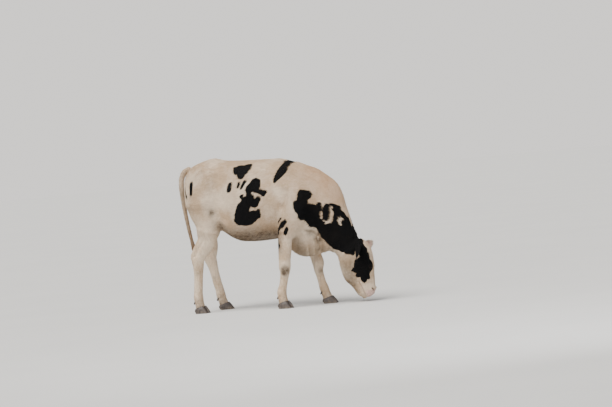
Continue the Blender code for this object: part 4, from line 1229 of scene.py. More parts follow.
@dataclass
class Markings:
    """Black patches and tints of the coat, as smooth numbers that the finishes turn into colour."""

    anatomy: Anatomy
    # each stroke: x, y, z of one end and of the other, then the radius at each
    right_patches: Tuple[Row, ...] = (    # black of the right side, from the rump forwards
        (0.119, -0.19, 1.202, 0.114, -0.206, 1.115, 0.026, 0.021),  # buttock
        (0.005, -0.12, 1.19, 0.051, -0.175, 1.083, 0.012, 0.011),
        (0.615, -0.176, 1.298, 0.701, -0.165, 1.304, 0.048, 0.043),  # loin
        (0.653, -0.217, 1.25, 0.658, -0.222, 1.243, 0.045, 0.042),
        (0.615, -0.186, 1.286, 0.676, -0.19, 1.281, 0.049, 0.049),
        (0.571, -0.165, 1.308, 0.591, -0.193, 1.275, 0.018, 0.025),
        (0.698, -0.141, 1.323, 0.722, -0.136, 1.325, 0.029, 0.019),
        (1.059, -0.053, 1.324, 1.083, -0.033, 1.315, 0.035, 0.029),  # withers
        (1.067, -0.09, 1.309, 1.043, -0.151, 1.256, 0.037, 0.044),
        (1.043, -0.151, 1.256, 1.01, -0.184, 1.207, 0.044, 0.037),
        (1.01, -0.184, 1.207, 0.974, -0.201, 1.157, 0.032, 0.016),
        (0.549, -0.251, 1.166, 0.541, -0.269, 1.12, 0.028, 0.026),  # flank
        (0.648, -0.262, 1.173, 0.639, -0.275, 1.14, 0.014, 0.014),
        (0.706, -0.256, 1.185, 0.676, -0.28, 1.127, 0.015, 0.014),
        (0.817, -0.231, 1.188, 0.809, -0.254, 1.139, 0.02, 0.048),  # ribs, upper half
        (0.806, -0.245, 1.163, 0.772, -0.276, 1.102, 0.049, 0.059),
        (0.844, -0.26, 1.09, 0.874, -0.26, 1.065, 0.027, 0.023),
        (0.878, -0.26, 1.061, 0.895, -0.25, 1.076, 0.025, 0.019),
        (0.779, -0.281, 1.076, 0.755, -0.292, 1.012, 0.053, 0.048),
        (0.831, -0.277, 1.019, 0.794, -0.286, 0.982, 0.029, 0.043),
        (0.676, -0.296, 1.049, 0.735, -0.294, 1.027, 0.024, 0.027),
        (0.733, -0.294, 1.0, 0.673, -0.292, 0.937, 0.053, 0.064),  # lower half
        (0.673, -0.292, 0.937, 0.637, -0.279, 0.872, 0.062, 0.064),
        (0.636, -0.277, 0.865, 0.687, -0.267, 0.834, 0.059, 0.048),
        (0.693, -0.274, 0.854, 0.793, -0.273, 0.887, 0.051, 0.037),
        (0.818, -0.274, 0.91, 0.811, -0.264, 0.865, 0.022, 0.026),
        (0.723, -0.264, 0.831, 0.79, -0.271, 0.879, 0.047, 0.047),
        (0.602, -0.257, 0.819, 0.687, -0.255, 0.807, 0.034, 0.028),
        (0.597, -0.265, 0.84, 0.587, -0.261, 0.834, 0.032, 0.029),
        (1.063, -0.238, 0.796, 1.015, -0.223, 0.761, 0.019, 0.027),  # elbow
        (1.016, -0.224, 0.768, 0.981, -0.213, 0.736, 0.021, 0.016),
        (0.996, -0.22, 0.736, 0.963, -0.198, 0.683, 0.012, 0.012),
        (1.066, -0.23, 0.722, 1.047, -0.229, 0.686, 0.02, 0.019),
        (1.018, -0.224, 0.828, 0.973, -0.2, 0.792, 0.008, 0.011),
        (0.958, -0.198, 0.583, 0.95, -0.192, 0.559, 0.016, 0.015),  # forearm
        (1.241, -0.192, 1.02, 1.273, -0.157, 1.016, 0.048, 0.044),  # shoulder
        (1.24, -0.199, 0.984, 1.236, -0.22, 0.919, 0.051, 0.062),
        (1.184, -0.237, 0.952, 1.208, -0.237, 0.905, 0.026, 0.046),
        (1.241, -0.219, 0.905, 1.236, -0.206, 0.838, 0.059, 0.056),
        (1.268, -0.17, 0.886, 1.309, -0.11, 0.84, 0.059, 0.078),
        (1.35, -0.096, 0.912, 1.344, -0.086, 0.827, 0.026, 0.041),
        (1.244, -0.154, 0.794, 1.277, -0.122, 0.76, 0.024, 0.045),
        (1.306, -0.109, 0.813, 1.318, -0.083, 0.757, 0.067, 0.056),
    )
    left_patches: Tuple[Row, ...] = (     # the left side has its own
        (1.078, 0.0, 1.335, 1.085, 0.08, 1.3, 0.045, 0.05),  # withers
        (1.085, 0.08, 1.3, 1.05, 0.18, 1.18, 0.05, 0.03),
        (0.76, 0.19, 1.29, 0.69, 0.26, 1.17, 0.08, 0.105),  # ribs
        (0.69, 0.27, 1.15, 0.76, 0.3, 1.01, 0.105, 0.085),
        (0.59, 0.27, 1.13, 0.56, 0.275, 1.05, 0.07, 0.04),
        (0.82, 0.29, 0.96, 0.85, 0.27, 0.88, 0.055, 0.036),
        (0.86, 0.225, 1.19, 0.88, 0.24, 1.13, 0.028, 0.018),
        (0.19, 0.2, 1.21, 0.13, 0.215, 1.09, 0.06, 0.085),  # thigh
        (0.13, 0.22, 1.06, 0.17, 0.23, 0.95, 0.07, 0.036),
        (0.36, 0.15, 1.36, 0.3, 0.17, 1.33, 0.04, 0.026),  # hip
        (1.23, 0.225, 0.96, 1.19, 0.24, 0.85, 0.055, 0.07),  # shoulder
        (1.26, 0.205, 0.88, 1.33, 0.18, 0.8, 0.06, 0.06),
        (1.13, 0.24, 0.76, 1.12, 0.23, 0.72, 0.03, 0.02),
        (1.42, 0.19, 0.74, 1.5, 0.2, 0.65, 0.07, 0.075),  # neck
        (1.49, 0.2, 0.62, 1.56, 0.19, 0.52, 0.075, 0.07),
        (1.56, 0.15, 0.72, 1.6, 0.14, 0.62, 0.05, 0.06),
        (1.39, 0.19, 0.88, 1.42, 0.175, 0.85, 0.03, 0.022),
        (1.11, 0.205, 0.56, 1.11, 0.205, 0.545, 0.018, 0.014),  # forearm
        (0.06, 0.215, 0.64, 0.07, 0.212, 0.6, 0.02, 0.014),  # shank
    )
    neck_patches: Tuple[Row, ...] = (     # solid below and broken up above, over the crest behind the poll
        (1.326, -0.074, 0.736, 1.392, -0.043, 0.656, 0.048, 0.075),
        (1.392, -0.043, 0.656, 1.457, -0.013, 0.569, 0.078, 0.086),
        (1.425, -0.043, 0.693, 1.543, 0.012, 0.665, 0.048, 0.059),
        (1.457, -0.013, 0.569, 1.56, 0.008, 0.518, 0.083, 0.075),
        (1.543, 0.012, 0.665, 1.608, 0.044, 0.554, 0.067, 0.06),
        (1.6, 0.06, 0.64, 1.63, 0.07, 0.56, 0.06, 0.06),
        (1.565, 0.004, 0.487, 1.591, 0.006, 0.454, 0.04, 0.024),
        (1.479, 0.004, 0.497, 1.481, 0.002, 0.506, 0.027, 0.027),
        (1.411, -0.069, 0.886, 1.4, -0.064, 0.796, 0.03, 0.036),
        (1.428, -0.06, 0.895, 1.454, -0.045, 0.897, 0.017, 0.017),
        (1.464, -0.039, 0.88, 1.501, -0.009, 0.86, 0.028, 0.028),
        (1.482, -0.025, 0.839, 1.527, 0.013, 0.794, 0.038, 0.031),
        (1.464, -0.037, 0.815, 1.468, -0.032, 0.743, 0.031, 0.036),
        (1.551, 0.04, 0.752, 1.56, 0.042, 0.712, 0.028, 0.034),
        (1.528, 0.006, 0.723, 1.552, 0.027, 0.701, 0.032, 0.038),
    )
    right_cheek: Tuple[Row, ...] = (      # over the right eye and cheek, above a white nose and jaw
        (1.669, 0.03, 0.526, 1.679, 0.034, 0.466, 0.027, 0.039),
        (1.681, 0.035, 0.466, 1.682, 0.026, 0.406, 0.04, 0.051),
        (1.724, 0.046, 0.387, 1.717, 0.053, 0.437, 0.015, 0.012),
        (1.682, 0.026, 0.406, 1.686, 0.019, 0.356, 0.05, 0.066),
        (1.646, 0.008, 0.347, 1.722, 0.033, 0.337, 0.05, 0.053),
        (1.625, 0.004, 0.391, 1.619, 0.001, 0.377, 0.015, 0.018),
        (1.631, 0.008, 0.315, 1.608, 0.008, 0.299, 0.048, 0.034),
        (1.585, 0.003, 0.298, 1.574, 0.003, 0.296, 0.015, 0.01),
        (1.725, 0.061, 0.3, 1.737, 0.065, 0.329, 0.033, 0.03),
        (1.675, 0.021, 0.311, 1.671, 0.03, 0.26, 0.071, 0.055),
        (1.63, 0.024, 0.258, 1.616, 0.027, 0.246, 0.03, 0.024),
        (1.671, 0.03, 0.26, 1.663, 0.043, 0.204, 0.057, 0.029),
        (1.697, 0.053, 0.236, 1.699, 0.058, 0.216, 0.024, 0.017),
        (1.663, 0.043, 0.204, 1.658, 0.046, 0.178, 0.026, 0.01),
    )
    white_holes: Tuple[Row, ...] = (      # white that breaks into the black
        (0.785, -0.28, 1.073, 0.826, -0.273, 1.053, 0.011, 0.01),
        (0.804, -0.28, 1.048, 0.81, -0.281, 1.032, 0.01, 0.008),
        (0.758, -0.287, 0.93, 0.815, -0.279, 0.933, 0.009, 0.013),
        (0.702, -0.294, 1.054, 0.718, -0.291, 1.07, 0.008, 0.009),
        (1.45, -0.046, 0.836, 1.437, -0.049, 0.785, 0.014, 0.014),
        (1.433, -0.049, 0.766, 1.387, -0.058, 0.744, 0.013, 0.01),
        (1.363, -0.084, 0.845, 1.356, -0.075, 0.793, 0.009, 0.009),
        (1.514, -0.002, 0.768, 1.495, -0.017, 0.753, 0.009, 0.01),
        (1.495, -0.017, 0.747, 1.507, -0.01, 0.717, 0.01, 0.009),
        (1.454, -0.045, 0.881, 1.454, -0.045, 0.876, 0.009, 0.008),
        (0.7, 0.285, 1.06, 0.735, 0.29, 1.05, 0.018, 0.012),
    )
    # the same on the head: below the poll, out of the forehead, to the left
    head_patches: Tuple[Row, ...] = (     # left eye and cheek, and the nape
        (0.06, -0.03, 0.075, 0.17, -0.01, 0.1, 0.05, 0.066),
        (0.19, 0.01, 0.1, 0.29, 0.02, 0.095, 0.066, 0.056),
        (0.3, -0.03, 0.09, 0.33, -0.08, 0.07, 0.05, 0.03),
        (0.24, 0.07, 0.085, 0.225, 0.085, 0.06, 0.038, 0.026),
        (0.01, -0.06, -0.05, 0.02, -0.09, 0.05, 0.07, 0.075),
    )
    blaze: Tuple[Row, ...] = (            # white between the eyes, and by the right ear
        (0.11, 0.075, -0.062, 0.13, 0.08, -0.06, 0.01, 0.008),
        (0.115, 0.095, 0.004, 0.23, 0.11, -0.004, 0.02, 0.026),
        (0.23, 0.11, 0.0, 0.48, 0.09, 0.0, 0.03, 0.055),
    )

    # x, y, z, radius and strength
    warm_spots: Tuple[Row, ...] = (
        (1.3, 0.0, 1.23, 0.11, 0.8), (1.455, 0.01, 1.11, 0.12, 1.0),
        (1.52, 0.03, 0.99, 0.1, 0.9), (1.19, -0.12, 1.15, 0.1, 0.4),
        (0.62, -0.29, 0.7, 0.12, 0.5), (0.9, -0.26, 0.7, 0.12, 0.5),
    )
    # brown dirt on the stifle, knees, hocks and feet, and painted shade in the groins, on the breast and
    # throat, under the jaw and at the top of the far foreleg
    soil_and_shade_spots: Tuple[Row, ...] = (
        (0.315, -0.212, 0.924, 0.021, 1.25), (0.372, -0.165, 0.79, 0.045, 1.0),
        (0.36, 0.185, 0.79, 0.042, 0.6), (1.262, -0.108, 0.672, 0.028, 0.75),
        (1.297, -0.072, 0.605, 0.026, 0.8), (1.286, -0.022, 0.515, 0.026, 0.6),
        (1.225, -0.138, 0.682, 0.024, 0.55), (1.095, -0.105, 0.61, 0.04, 0.45),
        (1.092, -0.05, 0.52, 0.05, 0.5), (1.17, -0.03, 0.47, 0.06, 0.45),
        (1.27, 0.125, 0.66, 0.035, 0.6), (1.354, 0.009, 0.507, 0.035, 0.55),
        (1.43, 0.02, 0.46, 0.04, 0.3), (1.505, 0.06, 0.18, 0.04, 0.35),
        (0.997, -0.198, 0.348, 0.026, 1.9), (0.99, -0.198, 0.322, 0.019, 1.3),
        (1.205, 0.13, 0.305, 0.022, 0.8), (1.16, 0.15, 0.37, 0.03, 0.35),
        (0.103, 0.125, 0.304, 0.014, 0.6), (0.109, -0.192, 0.378, 0.022, 0.4),
        (0.02, 0.165, 0.52, 0.03, 0.3), (0.93, -0.18, 0.065, 0.03, 0.4),
        (0.16, 0.12, 0.07, 0.035, 0.6), (0.08, -0.18, 0.075, 0.035, 0.7),
        (1.225, 0.12, 0.07, 0.035, 0.5), (1.12, 0.17, 0.62, 0.05, 0.3),
        (0.04, -0.15, 0.98, 0.06, 0.15),
    )

    def __post_init__(self) -> None:
        """Make the tail's loft, which tells the tail from the thighs."""
        self.tail = Tail().loft()

    def black(self, points: Array) -> Array:
        """Distance outside the black coat, negative in it: the patches' least, cut back by the holes."""
        at = self.anatomy.on_head
        patches = strokes(Blot, self.right_patches + self.left_patches + self.neck_patches + self.right_cheek)
        d = np.min([blot.signed(points) for blot in patches + strokes(Blot, self.head_patches, at)], axis=0)
        holes = strokes(Blot, self.white_holes) + strokes(Blot, self.blaze, at)
        d = np.maximum(d, -np.min([blot.signed(points) for blot in holes], axis=0))
        for ear in (Ear(self.anatomy, side) for side in Side):
            t, v, above = ear.local(points)
            on_ear = (t > 0.04) & (t < 1.2) & (np.abs(v) < 1.5) & (np.abs(above) < 0.01)
            edge = 0.06 * (-v - 1.0)
            if ear.side is Side.LEFT:
                edge = np.where(above > 0, 0.02, 0.03 * (np.maximum(np.abs(v), 1.3 * t) - 0.8))
            d = np.where(on_ear, edge, d)
        return d

    def tints(self, points: Array) -> Dict[str, Array]:
        """Shares, from 0 to 1, of the coat's tints.

        Args:
            points: Places in the body frame.

        Returns:
            warm, an orange cast; soil, brown dirt on the stifle, knees, hocks and feet together with painted
            shade under the belly, in the groins, on the breast and throat and along the jaw; bare, thin pink
            skin; spot, dark flecks low on the legs; upright, where the hair lies up and down rather than
            along the body; wet, the muzzle.
        """
        a, x, z = self.anatomy, points[:, 0], points[:, 2]
        warm = glow(points, self.warm_spots)
        on_tail = ramp(0.008 - self.tail.measure(points)[0], 0.0, 0.006) * ramp(1.27 - z, 0.0, 0.2)
        warm = warm + 0.9 * on_tail * ramp(0.98 - z, 0.0, 0.25)
        # painted shade: brown under the belly and along the lower edge of the jaw
        belly_shade = ramp(0.815 - z, 0.0, 0.15) * ramp(x, 0.34, 0.44)
        belly_shade = belly_shade * ramp(1.04 - x, 0.0, 0.1) * ramp(z, 0.46, 0.58)
        jaw_shade = ramp((a.poll - points) @ a.head_front, 0.03, 0.085)
        jaw_shade = jaw_shade * ramp(x, 1.42, 1.5) * ramp(0.44 - z, 0.0, 0.08)
        soil_and_shade = (1.1 * belly_shade + 0.6 * jaw_shade + on_tail * (0.4 + 0.28 * ramp(0.95 - z, 0.0, 0.25))
                + glow(points, self.soil_and_shade_spots))
        ahead = (points - a.poll) @ a.head_front
        muzzle = ramp(a.poll[2] - z, 0.448, 0.47) * ramp(x, 1.55, 1.6) * ramp(ahead, 0.005, 0.035)
        lids = np.zeros(len(points))
        for lid in (EyeLids(a, side) for side in Side):
            r, u, v, out = lid.local(points)
            lids = lids + ramp(1.38 - lid.opening(u, v), 0.0, 0.25) * (out > 0) * (r < 0.035)
        inner = np.zeros(len(points))
        for ear in (Ear(a, side) for side in Side):
            t, v, above = ear.local(points)
            hollow = (t > 0.1) * (t < 0.97) * (np.abs(v) < 0.93) * (above > 0.0003) * (above < 0.02)
            inner = np.maximum(inner, hollow * ramp(1 - np.abs(v), 0.05, 0.3))
        bag = bell(points, (0.262, 0.0, 0.8), 0.07) * 1.3
        bare = np.clip(np.maximum.reduce([muzzle, 0.9 * lids, 0.85 * inner, bag]), 0, 1)
        spot = ramp(0.2 - z, 0.0, 0.16) * (1 - ramp(x, 1.4, 1.45))
        upright = np.clip(ramp(0.8 - z, 0, 0.12) + ramp(x, 1.52, 1.62), 0, 1)
        return {"warm": np.clip(warm, 0, 1), "soil_and_shade": np.clip(soil_and_shade, 0, 1), "bare": bare, "spot": spot,
                "upright": upright, "wet": muzzle}

    def write(self, mesh: Mesh, places: Array) -> None:
        """Store the numbers on a mesh: at each of its points, those of a place on the skin."""
        number(mesh, "patch", self.black(places))
        for name, values in self.tints(places).items():
            number(mesh, name, values)


# ---- finishes
def fix(node: Node, **values: object) -> None:
    """Set a node's own sockets to constants; an underscore stands for a space in a socket's name."""
    for name, value in values.items():
        node.inputs[name.replace("_", " ")].default_value = value


class Graph:
    """Adds shader nodes to a tree and joins their sockets."""

    def __init__(self, tree: Tree) -> None:
        """Work on one tree."""
        self.tree = tree

    def node(self, kind: str, **settings: object) -> Node:
        """Add a node of a kind with its settings."""
        made = self.tree.nodes.new(f"ShaderNode{kind}")
        for key, value in settings.items():
            setattr(made, key, value)
        return made

    def feed(self, socket: Socket, value: object) -> None:
        """Set a socket to a constant, or join it to another socket."""
        if isinstance(value, Socket):
            self.tree.links.new(value, socket)
        elif isinstance(value, tuple) and len(value) == 3 and socket.type == "RGBA":
            socket.default_value = (*value, 1.0)
        else:
            socket.default_value = value

    def math(self, operation: str, a: object, b: object = 0.0) -> Socket:
        """The result of a sum of two numbers."""
        made = self.node("Math", operation=operation)
        self.feed(made.inputs[0], a)
        self.feed(made.inputs[1], b)
        return made.outputs[0]

    def mix(self, share: object, a: object, b: object, blend: str = "MIX") -> Socket:
        """One colour mixed with another by a share."""
        made = self.node("Mix", data_type="RGBA", blend_type=blend)
        self.feed(made.inputs[0], share)
        self.feed(made.inputs[6], a)
        self.feed(made.inputs[7], b)
        return made.outputs[2]

    def noise(self, place: object, scale: float, detail: float = 2.0, stretch: Optional[Point] = None,
              rough: float = 0.5) -> Socket:
        """Noise about 0.5 at places, perhaps stretched."""
        if stretch is not None:
            mapping = self.node("Mapping")
            self.feed(mapping.inputs["Vector"], place)
            fix(mapping, Scale=stretch)
            place = mapping.outputs[0]
        made = self.node("TexNoise")
        self.feed(made.inputs["Vector"], place)
        fix(made, Scale=scale, Detail=detail, Roughness=rough)
        return made.outputs["Fac"]

    def step(self, value: object, low: float, high: float, first: float = 0.0, last: float = 1.0) -> Socket:
        """A smooth step of a number from one value to another."""
        made = self.node("MapRange", interpolation_type="SMOOTHSTEP")
        fix(made, From_Min=low, From_Max=high, To_Min=first, To_Max=last)
        self.feed(made.inputs["Value"], value)
        return made.outputs["Result"]

    def stored(self, name: str, vector: bool = False) -> Socket:
        """A number or vector stored on the mesh."""
        made = self.node("Attribute", attribute_name=name)
        return made.outputs["Vector" if vector else "Fac"]

    def group(self, tree: Tree, **inputs: object) -> Dict[str, Socket]:
        """Place a group with its inputs and give its outputs by name."""
        made = self.node("Group")
        made.node_tree = tree
        for key, value in inputs.items():
            self.feed(made.inputs[key], value)
        return {socket.name: socket for socket in made.outputs}


def new_group(name: str, inputs: Dict[str, str], outputs: Dict[str, str]) -> Tuple[Graph, Dict, Dict]:
    """Start a node group.

    Args:
        name: Its name.
        inputs: Input names with their kinds, Float, Vector or Color.
        outputs: Output names with their kinds.

    Returns:
        A graph to fill it, its input sockets by name, and the sockets that its outputs are joined to.
    """
    tree = bpy.data.node_groups.new(name, "ShaderNodeTree")
    for way, sockets in (("INPUT", inputs), ("OUTPUT", outputs)):
        for key, kind in sockets.items():
            tree.interface.new_socket(key, in_out=way, socket_type=f"NodeSocket{kind}")
    start, end = tree.nodes.new("NodeGroupInput"), tree.nodes.new("NodeGroupOutput")
    return Graph(tree), {s.name: s for s in start.outputs}, {s.name: s for s in end.inputs}


def new_material(name: str, roughness: float) -> Tuple[Material, Graph, Node]:
    """A material with its Principled shader.

    Args:
        name: The finish's name.
        roughness: Its roughness where nothing drives it.

    Returns:
        The material, a graph on its tree, and the shader.
    """
    made = bpy.data.materials.new(name)
    made.use_nodes = True
    shader = made.node_tree.nodes["Principled BSDF"]
    fix(shader, Roughness=roughness)
    return made, Graph(made.node_tree), shader


@dataclass(frozen=True)
class CoatFinish:
    """Hair colours of the cow, shared by the skin and every tuft."""

    white: Point = (0.78, 0.645, 0.5)
    cream: Point = (0.6, 0.445, 0.3)
    black: Point = (0.0018, 0.0018, 0.0023)
    # painted sheen: a browner black for the black coat
    black_sheen: Point = (0.0048, 0.0038, 0.0034)
    orange: Point = (0.44, 0.235, 0.11)
    # brown of dirt, also laid on as painted shade under the belly, on the breast and along the jaw
    dirt: Point = (0.085, 0.057, 0.035)
    pink: Point = (0.66, 0.43, 0.36)
    pale_pink: Point = (0.74, 0.55, 0.48)
    slate: Point = (0.135, 0.1, 0.098)
    black_skin: Point = (0.004, 0.0034, 0.0036)
    opening: Point = (0.022, 0.01, 0.008)          # painted shade inside the mouth and the nostrils
    edge_wander: float = 0.022
    edge_hair: float = 0.01

    def colour_group(self) -> Tree:
        """The group that turns stored numbers into colour: patch edges wander by noise, tints lie over."""
        g, i, o = new_group("coat_colour", {
            "Place": "Vector", "Patch": "Float", "Warm": "Float", "Soil_and_shade": "Float", "Bare": "Float",
            "Spot": "Float", "Wet": "Float"}, {"Color": "Color", "Black": "Float", "Mottle": "Float"})
        wide, fine = g.noise(i["Place"], 34, 3), g.noise(i["Place"], 190, 2)
        edge = g.math("ADD", i["Patch"], g.math("MULTIPLY", g.math("SUBTRACT", wide, 0.5), self.edge_wander))
        edge = g.math("ADD", edge, g.math("MULTIPLY", g.math("SUBTRACT", fine, 0.5), self.edge_hair))
        dark = g.step(edge, -0.0012, 0.0012, 1.0, 0.0)
        large, small = g.noise(i["Place"], 4.5, 3), g.noise(i["Place"], 60, 3)
        creamy = g.step(g.math("ADD", large, g.math("MULTIPLY", small, 0.3)), 0.52, 0.8)
        light = g.mix(creamy, self.white, self.cream)
        light = g.mix(g.math("MULTIPLY", i["Warm"], 0.5), light, self.orange)
        # dirt on the legs and feet, and painted shade under the belly, breast and jaw, broken up by noise
        blotches = g.step(g.noise(i["Place"], 42, 4, rough=0.65), 0.25, 0.75, 0.45, 1.0)
        grime_and_shade = g.math("MULTIPLY", i["Soil_and_shade"], blotches)
        light = g.mix(grime_and_shade, light, self.dirt)
        flecks = g.math("MULTIPLY", g.step(g.noise(i["Place"], 44, 4), 0.5, 0.72), i["Spot"])
        light = g.mix(g.math("MULTIPLY", flecks, 0.7), light, self.slate)
        # painted sheen: the black coat turns browner in broad patches of noise
        night = g.mix(g.step(large, 0.42, 0.75), self.black, self.black_sheen)
        coat = g.mix(dark, light, night)
        mottle = g.step(g.noise(i["Place"], 72, 2), 0.575, 0.62)
        mottle = g.math("MULTIPLY", mottle, g.step(i["Wet"], 0.0, 1.0, 0.15, 0.5))
        flesh = g.mix(mottle, g.mix(g.noise(i["Place"], 130, 3), self.pink, self.pale_pink), self.slate)
        flesh = g.mix(g.math("MULTIPLY", dark, 0.985), flesh, self.black_skin)
        # painted shade: mouth and nostrils, counted as spots, turn near black
        flesh = g.mix(g.math("MULTIPLY", i["Spot"], 0.95), flesh, self.opening)
        g.feed(o["Color"], g.mix(i["Bare"], coat, flesh))
        g.feed(o["Black"], dark)
        g.feed(o["Mottle"], mottle)
        return g.tree

    def streak_group(self) -> Tree:
        """The group that gives the height of combed short hair: noise drawn out along the body or down it."""
        g, i, o = new_group("combed_hair", {"Place": "Vector", "Upright": "Float"}, {"Height": "Float"})
        along = g.noise(i["Place"], 260, 3, stretch=(0.09, 1.0, 1.0))
        down = g.noise(i["Place"], 260, 3, stretch=(1.0, 1.0, 0.09))
        locks_along = g.noise(i["Place"], 75, 2, stretch=(0.22, 1.0, 1.0))
        locks_down = g.noise(i["Place"], 75, 2, stretch=(1.0, 1.0, 0.22))
        mix = g.node("Mix", data_type="FLOAT")
        g.feed(mix.inputs[0], i["Upright"])
        g.feed(mix.inputs[2], g.math("ADD", along, locks_along))
        g.feed(mix.inputs[3], g.math("ADD", down, locks_down))
        g.feed(o["Height"], mix.outputs[0])
        return g.tree


class CoatMaterials:
    """The skin's and the tufts' materials, made from the same groups."""

    def __init__(self, finish: CoatFinish) -> None:
        """Build the shared groups once."""
        self.colour, self.streaks = finish.colour_group(), finish.streak_group()

    def tinted(self, g: Graph, place: Socket) -> Dict[str, Socket]:
        """The colour group, fed with the numbers stored on the piece."""
        names = ("patch", "warm", "soil_and_shade", "bare", "spot", "wet")
        return g.group(self.colour, Place=place, **{name.capitalize(): g.stored(name) for name in names})

    def skin(self) -> Material:
        """Combed hair in bump; on bare skin, a pebbled damp surface."""
        made, g, shader = new_material("skin_and_short_hair", 0.75)
        place = g.node("TexCoord").outputs["Object"]
        out = self.tinted(g, place)
        hair = g.group(self.streaks, Place=place, Upright=g.stored("upright"))["Height"]
        pebbles = g.node("TexVoronoi", feature="SMOOTH_F1")
        g.feed(pebbles.inputs["Vector"], place)
        fix(pebbles, Scale=330.0)
        height = g.node("Mix", data_type="FLOAT")
        g.feed(height.inputs[0], g.stored("bare"))
        g.feed(height.inputs[2], hair)
        g.feed(height.inputs[3], g.math("MULTIPLY", pebbles.outputs["Distance"], -0.8))
        bump = g.node("Bump")
        fix(bump, Strength=0.55, Distance=0.0016)
        g.feed(bump.inputs["Height"], height.outputs[0])
        shade = g.mix(g.step(hair, 0.7, 1.3), (0.8, 0.78, 0.76), (1.0, 1.0, 1.0))
        g.feed(shader.inputs["Base Color"], g.mix(1.0, out["Color"], shade, "MULTIPLY"))
        rough = g.step(g.stored("wet"), 0.0, 1.0, 0.74, 0.34)
        g.feed(shader.inputs["Roughness"], rough)
        g.feed(shader.inputs["Normal"], bump.outputs[0])
        fix(shader, Sheen_Weight=0.015, Sheen_Roughness=0.45, Specular_IOR_Level=0.12)
        return made

    def tuft(self, name: str = "coat_hair", tone: Optional[Tuple[Point, Point]] = None) -> Material:
        """Hair of a tuft, in its root's colour, varied a little from tuft to tuft, and darkened near the root
        by painted shade that fades towards its tip.

        Args:
            name: The finish's name.
            tone: Two colours, at root and tip, in place of the coat's own.

        Returns:
            The material.
        """
        made, g, shader = new_material(name, 0.62)
        if tone is None:
            colour = self.tinted(g, g.stored("root", True))["Color"]
        else:
            colour = g.mix(g.stored("toward_tip"), tone[0], tone[1])
        vary = g.mix(g.stored("luck"), (0.93, 0.925, 0.92), (1.04, 1.04, 1.04))
        colour = g.mix(1.0, colour, vary, "MULTIPLY")
        # painted shade: the hair darkens by up to 7 % at its root
        colour = g.mix(g.step(g.stored("toward_tip"), 0.0, 1.0, 0.07, 0.0), colour, (0.0, 0.0, 0.0))
        g.feed(shader.inputs["Base Color"], colour)
        fix(shader, Sheen_Weight=0.015, Sheen_Roughness=0.45, Specular_IOR_Level=0.09)
        return made


@dataclass(frozen=True)
class HornFinish:
    """Horn of claws and dewclaws: dark, streaked down the wall, ringed by growth, dusty at the sole."""

    dark: Point = (0.05, 0.04, 0.037)
    light: Point = (0.115, 0.088, 0.072)
    dust: Point = (0.22, 0.175, 0.13)

    def build(self) -> Material:
        """The material; it reads how far down the wall each point is from the mesh."""
        made, g, shader = new_material("hoof_horn", 0.5)
        place = g.node("TexCoord").outputs["Object"]
        down = g.stored("down_wall")
        streak = g.noise(place, 160, 3, stretch=(1.0, 1.0, 0.12))
        rings = g.node("TexWave", bands_direction="Z")
        g.feed(rings.inputs["Vector"], place)
        fix(rings, Scale=62.0, Distortion=2.5, Detail=2.0)
        colour = g.mix(g.step(streak, 0.42, 0.72), self.dark, self.light)
        dust = g.math("MULTIPLY", g.step(down, 0.35, 1.0), g.step(g.noise(place, 45, 4), 0.35, 0.7))
        g.feed(shader.inputs["Base Color"], g.mix(g.math("MULTIPLY", dust, 0.75), colour, self.dust))
        g.feed(shader.inputs["Roughness"], g.step(g.math("ADD", streak, dust), 0.2, 1.2, 0.36, 0.78))
        bump = g.node("Bump")
        fix(bump, Strength=0.35, Distance=0.0008)
        g.feed(bump.inputs["Height"], g.math("ADD", rings.outputs["Fac"], streak))
        g.feed(shader.inputs["Normal"], bump.outputs[0])
        return made


@dataclass(frozen=True)
class EyeFinish:
    """A cow's eye: dark brown iris, wide dark pupil, brownish white at the corners, wet."""

    white: Point = (0.04, 0.026, 0.019)
    iris: Point = (0.0065, 0.0032, 0.002)
    iris_light: Point = (0.014, 0.0066, 0.0038)
    white_brown: Point = (0.034, 0.019, 0.014)
    ring: Point = (0.02, 0.012, 0.01)               # where the iris meets the white
    pupil: Point = (0.002, 0.0024, 0.0042)

    def build(self) -> Material:
        """The material; it reads the iris's and the pupil's distances, 1 at their edges, from the mesh."""
        made, g, shader = new_material("wet_eye", 0.06)
        place = g.node("TexCoord").outputs["Object"]
        rays = g.noise(place, 420, 3)
        iris = g.mix(rays, self.iris, self.iris_light)
        white = g.mix(g.step(g.noise(place, 300, 3), 0.45, 0.75), self.white, self.white_brown)
        inner_edge = g.step(g.stored("iris"), 0.96, 1.06)
        outer = g.mix(g.step(g.stored("iris"), 1.05, 1.35, 0.8, 0.0), white, self.ring)
        colour = g.mix(inner_edge, iris, outer)
        in_pupil = g.step(g.stored("pupil"), 0.92, 1.05, 1.0, 0.0)
        g.feed(shader.inputs["Base Color"], g.mix(in_pupil, colour, self.pupil))
        fix(shader, Coat_Weight=0.08, Coat_Roughness=0.03, IOR=1.34, Specular_IOR_Level=0.1)
        return made


# ---- coat
@dataclass(frozen=True)
class Cut:
    """How a zone's tufts are cut: spacing, length, width and how far the tips stand off the skin."""

    spacing: float
    length: float
    width: float
    rise: float


